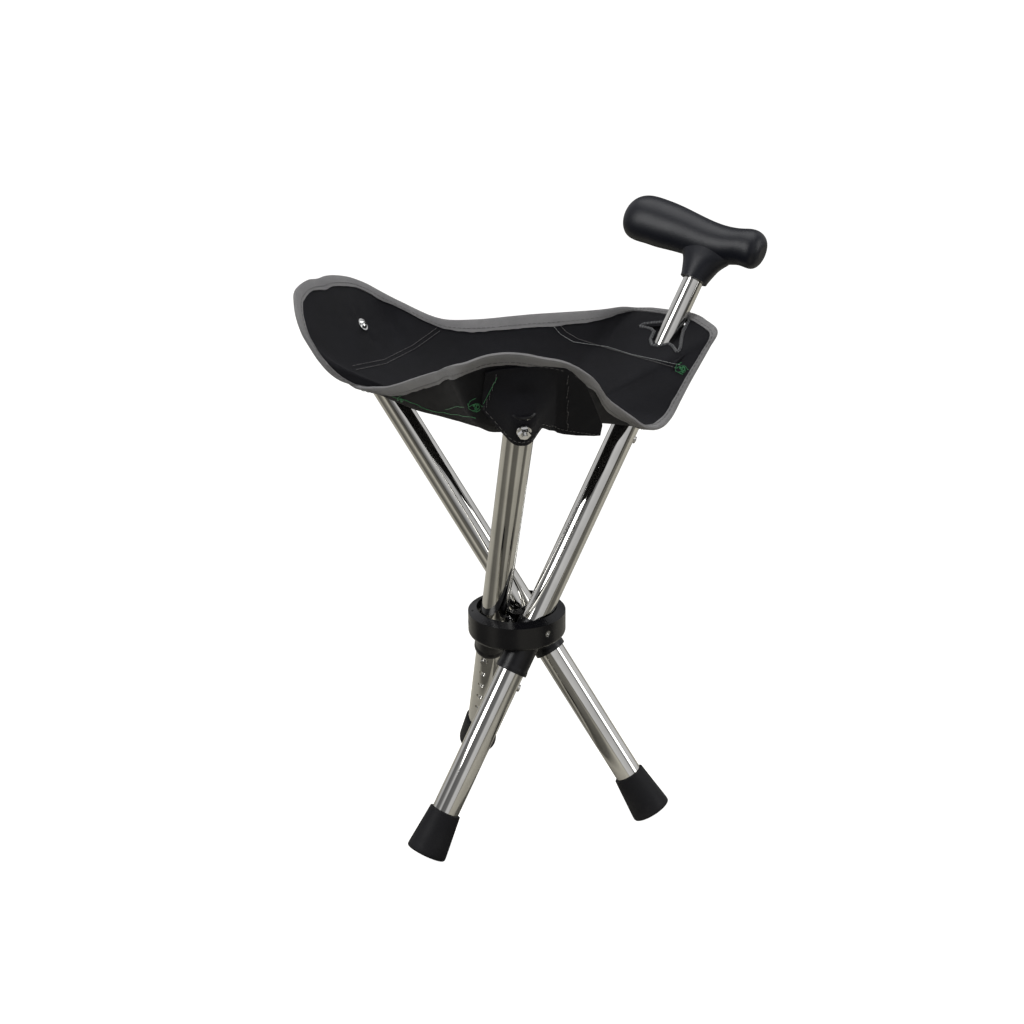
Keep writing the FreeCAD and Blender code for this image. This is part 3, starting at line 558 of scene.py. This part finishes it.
def flat_coordinates(piece):
    """Weave coordinates in metres: plan position, lengthened where the cloth stands up."""
    layer = piece.data.uv_layers.new(name="weave")
    for loop in piece.data.loops:
        place = piece.data.vertices[loop.vertex_index].co - HUB
        lift = 0.6 * (place.z - SEAT_LOW * MM)
        radius = max(0.03, math.hypot(place.x, place.y))
        grow = 1 + lift / radius
        layer.data[loop.index].uv = (place.x * grow, place.y * grow)


def cut_slot(piece):
    """The stitched slot in the cane corner: a long eye that hugs the handle tube."""
    leg = LEGS["cane"]
    eye = [*zip(SLOT_PLACES, SLOT_HALVES)]
    eye += [(place, -half) for place, half in reversed(eye)]
    corners = [
        (
            place * math.cos(SLOT_TURN) - half * math.sin(SLOT_TURN),
            place * math.sin(SLOT_TURN) + half * math.cos(SLOT_TURN)
            + SLOT_BEND * (place / SLOT_BEND_REACH) ** 2,
        )
        for place, half in reversed(eye)
    ]
    count = len(corners)
    points = [leg.point(a, n, s) for s in (SLOT_PLACE - 60, SLOT_PLACE + 60) for a, n in corners]
    faces = [tuple(reversed(range(count))), tuple(range(count, 2 * count))]
    for k in range(count):
        after = (k + 1) % count
        faces.append((k, after, after + count, k + count))
    cutter = named("slot_cutter", points, faces, CLOTH_BLACK, smooth=False)
    face_outwards(cutter)
    cut = piece.modifiers.new("slot", "BOOLEAN")
    cut.operation = "DIFFERENCE"
    cut.solver = "EXACT"
    cut.object = cutter
    graph = bpy.context.evaluated_depsgraph_get()
    mesh = bpy.data.meshes.new_from_object(piece.evaluated_get(graph))
    piece.modifiers.clear()
    piece.data = mesh
    bpy.data.objects.remove(cutter)
    return corners


def face_outwards(piece):
    """Turn every face's normal outwards."""
    work = bmesh.new()
    work.from_mesh(piece.data)
    bmesh.ops.recalc_face_normals(work, faces=work.faces)
    work.to_mesh(piece.data)
    work.free()


def tape_piece(name):
    """Tape folded over the edge: a closed strip round the rim with slightly uneven margins."""
    rows = stretch_of(name)
    around = rows / STEPS_ROUND
    length = SEAT.ribs(around)
    uneven = np.array([
        noise.noise(Vector((k * 0.11, 3.7, 0))) + 0.5 * noise.noise(Vector((k * 0.35, 9.1, 0)))
        for k in rows % STEPS_ROUND
    ])
    puff = np.array([noise.noise(Vector((k * 0.42, 1.3, 5))) for k in rows % STEPS_ROUND])
    face = CLOTH / 2
    outer = face + TAPE_THICKNESS + 0.25 + 0.22 * puff
    insets = [
        (1.0, face + 0.05), (1.0, None), (0.72, None), (0.4, None), (0.14, None), (0.02, None),
    ]
    rings = []
    for side in (1, -1):
        ring = []
        for share, height in insets:
            inset = share * (TAPE_WIDTH + 0.9 * uneven) if share > 0.5 else share * TAPE_WIDTH
            point, normal, _ = SEAT.frame(around, 1 - inset / length)
            lift = creased(point, normal)
            level = outer if height is None else height
            if share < 0.1:
                level = outer * 0.82
            ring.append(lift + normal * (side * np.asarray(level) * np.ones(len(rows)))[:, None])
        rings.append(ring)
    point, normal, outward = SEAT.frame(around, np.ones(len(rows)))
    rim_centre = creased(point, normal)
    rim = [
        rim_centre + outward * (TAPE_THICKNESS + 0.2)
        + normal * (side * 0.55 * outer)[:, None] for side in (1, -1)
    ]
    section = rings[0] + rim + rings[1][::-1]
    points = np.stack(section, 1)
    count, width = points.shape[:2]
    index = np.arange(count * width).reshape(count, width)
    faces = []
    for i in range(count - 1):
        for j in range(width):
            after = (j + 1) % width
            faces.append(tuple(map(int, (
                index[i, j], index[i, after], index[i + 1, after], index[i + 1, j]
            ))))
    faces.append(tuple(map(int, index[0][::-1])))
    faces.append(tuple(map(int, index[-1])))
    piece = named(name + "_seat_tape", to_world(points), faces, TAPE_GREY)
    face_outwards(piece)
    layer = piece.data.uv_layers.new(name="weave")
    pitch = SEAT.length * MM / STEPS_ROUND
    for loop in piece.data.loops:
        row, column = divmod(loop.vertex_index, width)
        layer.data[loop.index].uv = (rows[row] * pitch, column * 0.0022)
    return piece


def tube_along(path, radius, sides=6, closed=False):
    """Rings of points round a path, in world metres, as vertices and faces."""
    points, faces = [], []
    count = len(path)
    previous = None
    for k, here in enumerate(path):
        ahead = path[(k + 1) % count] if closed or k + 1 < count else here
        behind = path[k - 1] if closed or k else here
        way = ahead - behind
        way = way.normalized() if way.length > 1e-9 else UP
        side = way.cross(previous if previous is not None else UP.cross(way) + UP * 0.01)
        side = side.normalized() if side.length > 1e-9 else way.orthogonal().normalized()
        upward = side.cross(way).normalized()
        previous = upward
        for j in range(sides):
            angle = 2 * math.pi * j / sides
            points.append(here + (side * math.cos(angle) + upward * math.sin(angle)) * radius)
    rings = count if closed else count - 1
    for k in range(rings):
        after = (k + 1) % count
        for j in range(sides):
            right = (j + 1) % sides
            faces.append((
                k * sides + j, k * sides + right, after * sides + right, after * sides + j
            ))
    if not closed:
        faces.append(tuple(reversed(range(sides))))
        faces.append(tuple(range((count - 1) * sides, count * sides)))
    return points, faces


class Threads:
    """Many short threads gathered in one mesh."""

    def __init__(self):
        self.points = []
        self.faces = []

    def add(self, path, radius, sides=5):
        points, faces = tube_along(path, radius, sides)
        start = len(self.points)
        self.points += points
        self.faces += [tuple(k + start for k in face) for face in faces]

    def stitch(self, start, end, normal, radius=0.00028):
        lift = normal * radius
        rise = (end - start).length * 0.12
        middle = (start + end) / 2 + normal * rise
        self.add([start - lift, start + lift * 0.7, middle, end + lift * 0.7, end - lift], radius)

    def piece(self, name, material):
        if not self.points:
            return None
        return named(name, self.points, self.faces, material)


def tape_stitches(name, side, threads):
    """A sewn line along the tape, two millimetres from its inner margin."""
    rows = stretch_of(name)
    length = SEAT.ribs(rows / STEPS_ROUND)
    inset = TAPE_WIDTH - 2.2
    point, normal, _ = SEAT.frame(rows / STEPS_ROUND, 1 - inset / length)
    surface = creased(point, normal)
    level = CLOTH / 2 + TAPE_THICKNESS + 0.33
    line = to_world(surface + normal * (side * level))
    normals = normal * side
    pitch = 2
    for k in range(1, len(rows) - pitch, pitch):
        start = Vector(line[k])
        end = Vector(line[k + 1]).lerp(Vector(line[k + 2]), 0.25)
        threads.stitch(start, end, Vector(normals[k]), 0.00024)


# The photograph's camera. Its place and turn are real: they come from a fit to the three
# crossing legs, the feet on the floor and the hub ring.
LENS = 61.16
SENSOR = 36.0
CAMERA_PLACE = Vector((-937.3, -1158.7, 682.4)) * MM
CAMERA_TURN = math.radians(-38.97 + 0.137)
CAMERA_DOWN = math.radians(21.107)
CAMERA_ROLL = math.radians(-0.579)


def photo_camera():
    data = bpy.data.cameras.new("photo_camera")
    data.lens = LENS
    data.sensor_width = SENSOR
    data.clip_start = 0.05
    camera = bpy.data.objects.new("photo_camera", data)
    bpy.context.scene.collection.objects.link(camera)
    turn = (
        Matrix.Rotation(CAMERA_TURN, 4, "Z")
        @ Matrix.Rotation(math.pi / 2 - CAMERA_DOWN, 4, "X")
        @ Matrix.Rotation(CAMERA_ROLL, 4, "Z")
    )
    camera.matrix_world = Matrix.Translation(HUB + CAMERA_PLACE) @ turn
    bpy.context.scene.camera = camera
    return camera


CAMERA = photo_camera()
IMAGE = 1024


def sight(across, down):
    """The direction of a photograph pixel from the camera."""
    reach = SENSOR / LENS / IMAGE
    way = Vector(((across - IMAGE / 2) * reach, (IMAGE / 2 - down) * reach, -1))
    return (CAMERA.matrix_world.to_3x3() @ way).normalized()


class Cloths:
    """Everything that a photograph pixel may fall on, for seams and loose threads."""

    def __init__(self, pieces):
        self.trees = []
        for piece in pieces:
            mesh = piece.data
            self.trees.append(BVHTree.FromPolygons(
                [v.co for v in mesh.vertices], [tuple(p.vertices) for p in mesh.polygons]
            ))

    def hit(self, across, down):
        start = CAMERA.matrix_world.translation
        way = sight(across, down)
        found = [tree.ray_cast(start, way) for tree in self.trees]
        found = [f for f in found if f[0] is not None]
        if not found:
            return None, None
        place, normal, _, _ = min(found, key=lambda f: f[3])
        if normal.dot(way) > 0:
            normal = -normal
        return place, normal

    def line(self, pixels, step):
        """Places and normals along a pixel polyline, one every step pixels."""
        places = []
        for (x0, y0), (x1, y1) in zip(pixels, pixels[1:]):
            count = max(1, round(math.hypot(x1 - x0, y1 - y0) / step))
            for k in range(count):
                share = k / count
                place, normal = self.hit(x0 + (x1 - x0) * share, y0 + (y1 - y0) * share)
                if place is not None:
                    places.append((place, normal))
        return places


# Edges of the second cloth layer of each corner: places across it, with the heights of its
# lower edge and of its upper seam up the leg, both in millimetres
PATCHES = {
    "front": (
        (-72, -66, -60, -52, -40, -34, -26, -18, -12, -4, 5, 14, 22, 30),
        (261, 261, 262, 263, 266, 269, 279, 292, 288.5, 286.5, 288, 293, 300, 307),
        (275, 292, 308, 328, 344, 350, 352, 354, 354, 354, 354, 353, 352, 350),
    ),
    "left": (
        (-34, -26, -18, -10, -2, 8, 16, 24, 32, 40),
        (296, 290, 288, 287, 286, 287, 289, 292, 296, 301),
        (354, 356, 356, 355, 354, 350, 347, 344, 340, 335),
    ),
    "cane": (
        (-38, -28, -18, -8, 2, 12, 22, 30, 36),
        (262, 258, 256, 254, 254, 255, 257, 260, 264),
        (312, 314, 315, 316, 316, 314, 312, 309, 306),
    ),
}


# Each patch's half width at its foot and at its top, and the place of its tube's end
PATCH_FORM = {"front": (33, 26, 320), "left": (33, 26, 320), "cane": (33, 28, 330)}
PATCH_OFF_TUBE = 1.3
PATCH_OFF_FLAP = 0.9
PATCH_COLUMNS = 61
PATCH_ROWS = 40


def patch_side(name, across, up, share):
    """How far out from its tube's axis a patch lies: over the tube, or flat on the flap."""
    foot, head, tube_end = PATCH_FORM[name]
    radius = TUBE_RADIUS + PATCH_OFF_TUBE
    rest = PATCH_OFF_FLAP - FLAP_REST + CLOTH
    seam = foot + (head - foot) * share
    tangent = 0.75 * radius
    crown = math.sqrt(radius**2 - tangent**2)
    away = abs(across)
    if away < tangent:
        full = math.sqrt(radius**2 - away**2)
    else:
        slope = min(1.0, (away - tangent) / (seam - tangent))
        full = crown + (rest - crown) * (slope**0.85)
    top = max(PATCHES[name][2])
    over = smooth_step((up - (tube_end - 8)) / (top - tube_end + 8))
    dip = 7.0 * math.exp(-((across / 13.0) ** 2)) * math.exp(-(((up - tube_end - 9) / 9) ** 2))
    lean = max(0.0, (up - SLOT_PLACE + 26) * 0.62) if name == "cane" else 0.0
    side = rest + lean + (full - rest) * (1 - over) - dip * (1 if full > rest else 0)
    crease = 0.9 * noise.noise(Vector((across / 14, up / 17, len(name))))
    return max(side + crease, rest + lean)


def corner_patch(name):
    """The second cloth layer of a corner, sewn under the flap and drawn over its tube."""
    places, lows, tops = PATCHES[name]
    leg = LEGS[name]
    columns = np.linspace(places[0], places[-1], PATCH_COLUMNS)
    rows = PATCH_ROWS
    sheet = []
    for j in range(rows):
        share = j / (rows - 1)
        line = []
        for across in columns:
            low = np.interp(across, places, lows)
            up = low + (np.interp(across, places, tops) - low) * share
            line.append((across, patch_side(name, across, up, share), up))
        sheet.append(line)
    points, faces = [], []
    grid = np.array(sheet)
    across_way = np.gradient(grid, axis=1)
    up_way = np.gradient(grid, axis=0)
    normal = np.cross(up_way, across_way)
    normal /= np.linalg.norm(normal, axis=-1, keepdims=True)
    normal *= np.sign(normal[..., 1:2].mean() or 1)
    for layer in (normal * CLOTH * 0.5, normal * -CLOTH * 0.5):
        points += [leg.point(*p) for p in (grid + layer).reshape(-1, 3)]
    width = len(columns)
    index = np.arange(rows * width).reshape(rows, width)
    under = index + rows * width
    for j in range(rows - 1):
        for i in range(width - 1):
            faces.append((index[j, i], index[j, i + 1], index[j + 1, i + 1], index[j + 1, i]))
            faces.append((under[j, i], under[j + 1, i], under[j + 1, i + 1], under[j, i + 1]))
    loop = (
        [(0, i) for i in range(width)] + [(j, width - 1) for j in range(1, rows)]
        + [(rows - 1, i) for i in range(width - 2, -1, -1)]
        + [(j, 0) for j in range(rows - 2, 0, -1)]
    )
    for here, after in zip(loop, loop[1:] + loop[:1]):
        faces.append((index[here], under[here], under[after], index[after]))
    piece = named(
        name + "_corner_cloth", points, [tuple(map(int, f)) for f in faces], CLOTH_BLACK
    )
    face_outwards(piece)
    layer = piece.data.uv_layers.new(name="weave")
    flat = [(across * MM, up * MM) for line in sheet for across, _, up in line] * 2
    for loop_corner in piece.data.loops:
        layer.data[loop_corner.index].uv = flat[loop_corner.vertex_index]
    hem_threads(name, grid, normal)
    return piece


HEM_ROW = 3
SIDE_SEAM = (20, 9)
INNER_SEAM_SHIFT = -15


def hem_threads(name, grid, normal):
    """Sewn lines: one along the hem, and one up each side of the drawn-up middle."""
    leg = LEGS[name]
    threads = Threads()
    lines = [[(HEM_ROW, i) for i in range(1, grid.shape[1] - 1)]]
    for side, shift in ((-1, INNER_SEAM_SHIFT), (1, 0)):
        column = []
        for j in range(HEM_ROW, grid.shape[0] - 2):
            spread = SIDE_SEAM[1] * (1 - j / grid.shape[0])
            target = side * (SIDE_SEAM[0] + spread) + shift
            column.append((j, int(np.argmin(np.abs(grid[j, :, 0] - target)))))
        lines.append(column)
    for line in lines:
        for here, after in zip(line[:-1:2], line[1::2]):
            lift = CLOTH / 2 + 0.25
            start = leg.point(*(grid[here] + normal[here] * lift))
            end = leg.point(*(grid[after] + normal[after] * lift))
            way = leg.point(*(grid[here] + normal[here] * 9)) - start
            threads.stitch(start, end, way.normalized(), 0.00024)
    piece = threads.piece(name + "_corner_stitches", THREAD_BLACK)
    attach(piece, name + "_leg")
    flatten(piece, name, 0.0)


def flatten(piece, name, across):
    """Gives the piece its own copy of its mesh. The real cloth folds toward the plane of its own
    tube as the legs close; nothing here folds it.
    """
    leg = LEGS[name]
    tuple(leg.point(across, 0, 0))
    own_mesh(piece)


# Where each corner's cloth would gather when the legs are closed, from its pivot along its pin;
# flatten is given it but moves no cloth
GATHER = {"cane": -16.6, "left": 0.0, "front": 0.0}


def on_seat(piece, owner):
    """A piece of the sling: it rides its leg."""
    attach(piece, owner + "_leg")
    flatten(piece, owner, GATHER[owner])


cloths = {name: cloth_piece(name) for name in LEGS}
slot_outline = cut_slot(cloths["cane"])
tapes = {name: tape_piece(name) for name in LEGS}
patches = {name: corner_patch(name) for name in PATCHES}

# Each corner's cloth, tape and second cloth layer ride that corner's leg; the model's seat panel,
# binding and corner pockets are hidden
for name, piece in cloths.items():
    on_seat(piece, name)
    tape = tapes[name]
    on_seat(tape, name)
    patch = patches[name]
    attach(patch, name + "_leg")
    flatten(patch, name, 0.0)
    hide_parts(name + "_corner_pocket")
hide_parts("seat_panel")
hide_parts("seat_binding")


# Sewn lines on the tape
for name in LEGS:
    threads = Threads()
    tape_stitches(name, 1, threads)
    tape_stitches(name, -1, threads)
    on_seat(threads.piece(name + "_tape_stitches", THREAD_BLACK), name)


# Seams and loose ends, placed where the photograph shows them
SEAMS = {
    "left_seam_upper": ("left", [(437, 328), (412, 346), (384, 360), (348, 367)], THREAD_BLACK),
    "left_seam_lower": ("left", [(440, 331), (415, 349), (386, 364), (352, 371)], THREAD_BLACK),
    "cane_seam_upper": (
        "cane", [(549, 321), (560, 334), (573, 342), (607, 347), (632, 355), (684, 366)],
        THREAD_PALE,
    ),
    "cane_seam_lower": (
        "cane", [(556, 321), (566, 332), (578, 339), (612, 350), (640, 358), (680, 369)],
        THREAD_BLACK,
    ),
}
LOOSE_ENDS = {
    "front_tangle": ("front", (476, 405), 9.0, THREAD_GREEN, 9),
    "cane_tangle": ("cane", (682, 369), 8.0, THREAD_GREEN, 9),
    "front_left_tangle": ("left", (402, 399), 5.0, THREAD_GREEN, 4),
}
LONG_THREADS = {
    "long_thread_one": ("front", [(393, 396), (410, 401), (430, 410), (455, 414), (480, 418)]),
    "long_thread_two": ("front", [(497, 377), (490, 391), (482, 407)]),
    "long_thread_three": ("front", [(446, 409), (458, 406), (468, 407)]),
}
STITCH_STEP = 3.2


def sewn_seam(label, owner, pixels, material, seen):
    places = seen.line(pixels, STITCH_STEP)
    threads = Threads()
    for (start, normal), (end, _) in zip(places, places[1:]):
        lift = normal * 0.0004
        threads.stitch(start + lift, start.lerp(end, 0.74) + lift, normal, 0.00026)
    piece = threads.piece(label, material)
    if piece is not None:
        on_seat(piece, owner)


def loose_end(label, owner, pixel, spread, material, count, seen):
    """A small tangle of thread ends: short loops that start in the seam and curl away."""
    threads = Threads()
    for k in range(count):
        angle = 2.4 * k
        path = []
        for step in range(11):
            share = step / 10
            turn = angle + 2.6 * share + 1.1 * math.sin(5 * share + k)
            reach = spread * (0.15 + 0.85 * share) * (0.6 + 0.4 * math.sin(k * 1.7))
            place, normal = seen.hit(
                pixel[0] + reach * math.cos(turn), pixel[1] + 0.8 * reach * math.sin(turn)
            )
            if place is None:
                break
            path.append(place + normal * (0.0005 + 0.0012 * math.sin(math.pi * share)))
        steps = [(b - a).length for a, b in zip(path, path[1:])]
        if len(path) > 3 and max(steps) < 0.012:
            threads.add(path, 0.00017)
    piece = threads.piece(label, material)
    if piece is not None:
        on_seat(piece, owner)


seen_cloth = Cloths([*cloths.values(), *patches.values()])
for label, (owner, pixels, material) in SEAMS.items():
    sewn_seam(label, owner, pixels, material, seen_cloth)
for label, (owner, pixel, spread, material, count) in LOOSE_ENDS.items():
    loose_end(label, owner, pixel, spread, material, count, seen_cloth)
for label, (owner, pixels) in LONG_THREADS.items():
    places = seen_cloth.line(pixels, 4.0)
    threads = Threads()
    path = [
        place + normal * (0.0007 + 0.0004 * math.sin(1.9 * k))
        for k, (place, normal) in enumerate(places)
    ]
    if len(path) > 2:
        threads.add(path, 0.00018)
        on_seat(threads.piece(label, THREAD_GREEN), owner)


def slot_edging():
    """A stitched roll of tape round the slot in the cane corner."""
    leg = LEGS["cane"]
    tree = BVHTree.FromPolygons(
        [v.co for v in cloths["cane"].data.vertices],
        [tuple(p.vertices) for p in cloths["cane"].data.polygons],
    )
    path = []
    for across, side in slot_outline:
        outward = Vector((across, side)).normalized() * 1.6
        start = leg.point(across + outward.x, side + outward.y, SLOT_PLACE + 60)
        place = tree.ray_cast(start, -leg.up)[0]
        if place is not None:
            path.append(place + UP * 0.0004)
    dense = []
    for here, after in zip(path, path[1:] + path[:1]):
        count = max(1, round((after - here).length / 0.003))
        dense += [here.lerp(after, k / count) for k in range(count)]
    points, faces = tube_along(dense, 0.0014, 10, closed=True)
    piece = named("slot_edging", points, faces, TAPE_DARK)
    layer = piece.data.uv_layers.new(name="weave")
    for loop in piece.data.loops:
        ring, side = divmod(loop.vertex_index, 10)
        layer.data[loop.index].uv = (ring * 0.003, side * 0.0009)
    threads = Threads()
    for k in range(len(dense) - 1):
        way = (dense[k + 1] - dense[k]).normalized()
        away = way.cross(UP).normalized()
        threads.add([
            dense[k] - away * 0.0017 + UP * 0.0002, dense[k] + UP * 0.00165,
            dense[k] + away * 0.0017 + UP * 0.0002,
        ], 0.0002)
    stitches = threads.piece("slot_stitches", THREAD_PALE)
    for part in (piece, stitches):
        on_seat(part, "cane")


slot_edging()


# Floor, backdrop and soft studio light. The camera sees floor and backdrop plain white;
# only reflections and soft light see the bands.
FLOOR_COLOUR = (0.72, 0.69, 0.6)
FLOOR_DIM = 0.04
FLOOR_SIZE = 60
WALL_LIGHT = 0.8
WALL_COLOUR = (1, 1, 1.02)
# Bright screens with dark gaps all round, as shares of a turn with their brightness, which
# draw the long streaks on the chromed tubes
WALLS = (
    (0.0, 0.7), (0.03, 0.16), (0.12, 0.2), (0.15, 0.75), (0.27, 0.6), (0.3, 0.14),
    (0.37, 0.2), (0.41, 0.8), (0.56, 0.65), (0.59, 0.18), (0.67, 0.16), (0.71, 0.75),
    (0.84, 0.6), (0.87, 0.16), (0.94, 0.22), (0.99, 0.7),
)


def wall_bands(tree, kind, colour, least):
    """The bands round the object, as a colour output; least is added to their brightness."""
    place = tree.nodes.new("ShaderNodeTexCoord")
    turn = tree.nodes.new("ShaderNodeTexGradient")
    turn.gradient_type = "RADIAL"
    bands = tree.nodes.new("ShaderNodeValToRGB")
    stops = bands.color_ramp.elements
    while len(stops) < len(WALLS):
        stops.new(0.5)
    for stop, (share, bright) in zip(stops, WALLS):
        stop.position = share
        stop.color = (*(part * (least + bright) for part in colour), 1)
    tree.links.new(place.outputs[kind], turn.inputs["Vector"])
    tree.links.new(turn.outputs["Fac"], bands.inputs["Fac"])
    return bands.outputs["Color"]


def pale_floor():
    """A matt floor with faint bands, which glows white for the camera's own rays."""
    material = bpy.data.materials.new("studio_floor")
    material.use_nodes = True
    tree = material.node_tree
    surface = tree.nodes["Principled BSDF"]
    bands = wall_bands(tree, "Object", FLOOR_COLOUR, FLOOR_DIM)
    tree.links.new(bands, surface.inputs["Base Color"])
    surface.inputs["Roughness"].default_value = 0.9
    surface.inputs["Specular IOR Level"].default_value = 0.1
    path = tree.nodes.new("ShaderNodeLightPath")
    glow = tree.nodes.new("ShaderNodeEmission")
    tree.links.new(path.outputs["Is Camera Ray"], glow.inputs["Strength"])
    add = tree.nodes.new("ShaderNodeAddShader")
    out = tree.nodes["Material Output"]
    tree.links.new(surface.outputs["BSDF"], add.inputs[0])
    tree.links.new(glow.outputs["Emission"], add.inputs[1])
    tree.links.new(add.outputs["Shader"], out.inputs["Surface"])
    bpy.ops.mesh.primitive_plane_add(size=FLOOR_SIZE, location=(0, 0, 0))
    floor = bpy.context.object
    floor.name = "studio_floor"
    floor.data.materials.append(material)


def area_light(name, place, target, size, power):
    data = bpy.data.lights.new(name, "AREA")
    data.shape = "RECTANGLE"
    data.size, data.size_y = size
    data.energy = power
    lamp = bpy.data.objects.new(name, data)
    bpy.context.scene.collection.objects.link(lamp)
    lamp.location = place
    lamp.rotation_euler = (Vector(target) - Vector(place)).to_track_quat("-Z", "Y").to_euler()


def studio():
    world = bpy.data.worlds.new("studio")
    world.use_nodes = True
    tree = world.node_tree
    background = tree.nodes["Background"]
    background.inputs["Strength"].default_value = WALL_LIGHT
    bands = wall_bands(tree, "Generated", WALL_COLOUR, 0)
    tree.links.new(bands, background.inputs["Color"])
    bright = tree.nodes.new("ShaderNodeBackground")
    bright.inputs["Color"].default_value = (1, 1, 1, 1)
    bright.inputs["Strength"].default_value = 1.0
    path = tree.nodes.new("ShaderNodeLightPath")
    mix = tree.nodes.new("ShaderNodeMixShader")
    tree.links.new(path.outputs["Is Camera Ray"], mix.inputs["Fac"])
    tree.links.new(background.outputs["Background"], mix.inputs[1])
    tree.links.new(bright.outputs["Background"], mix.inputs[2])
    tree.links.new(mix.outputs["Shader"], tree.nodes["World Output"].inputs["Surface"])
    bpy.context.scene.world = world
    view = CAMERA.matrix_world.to_3x3()
    right = view @ Vector((1, 0, 0))
    toward = HUB - CAMERA.matrix_world.translation
    toward.z = 0
    toward.normalize()
    middle = Vector((HUB.x, HUB.y, 0.3))
    area_light("key_left", middle - right * 1.5 - toward * 0.9 + UP * 1.3, middle, (0.9, 1.2), 17)
    area_light("fill_right", middle + right * 1.7 - toward * 0.5 + UP * 0.8, middle, (0.7, 1.4), 8)
    area_light("top_soft", middle + UP * 1.9 + toward * 0.4, middle, (1.4, 1.4), 12)


pale_floor()
studio()
bpy.context.scene.view_settings.view_transform = "Standard"
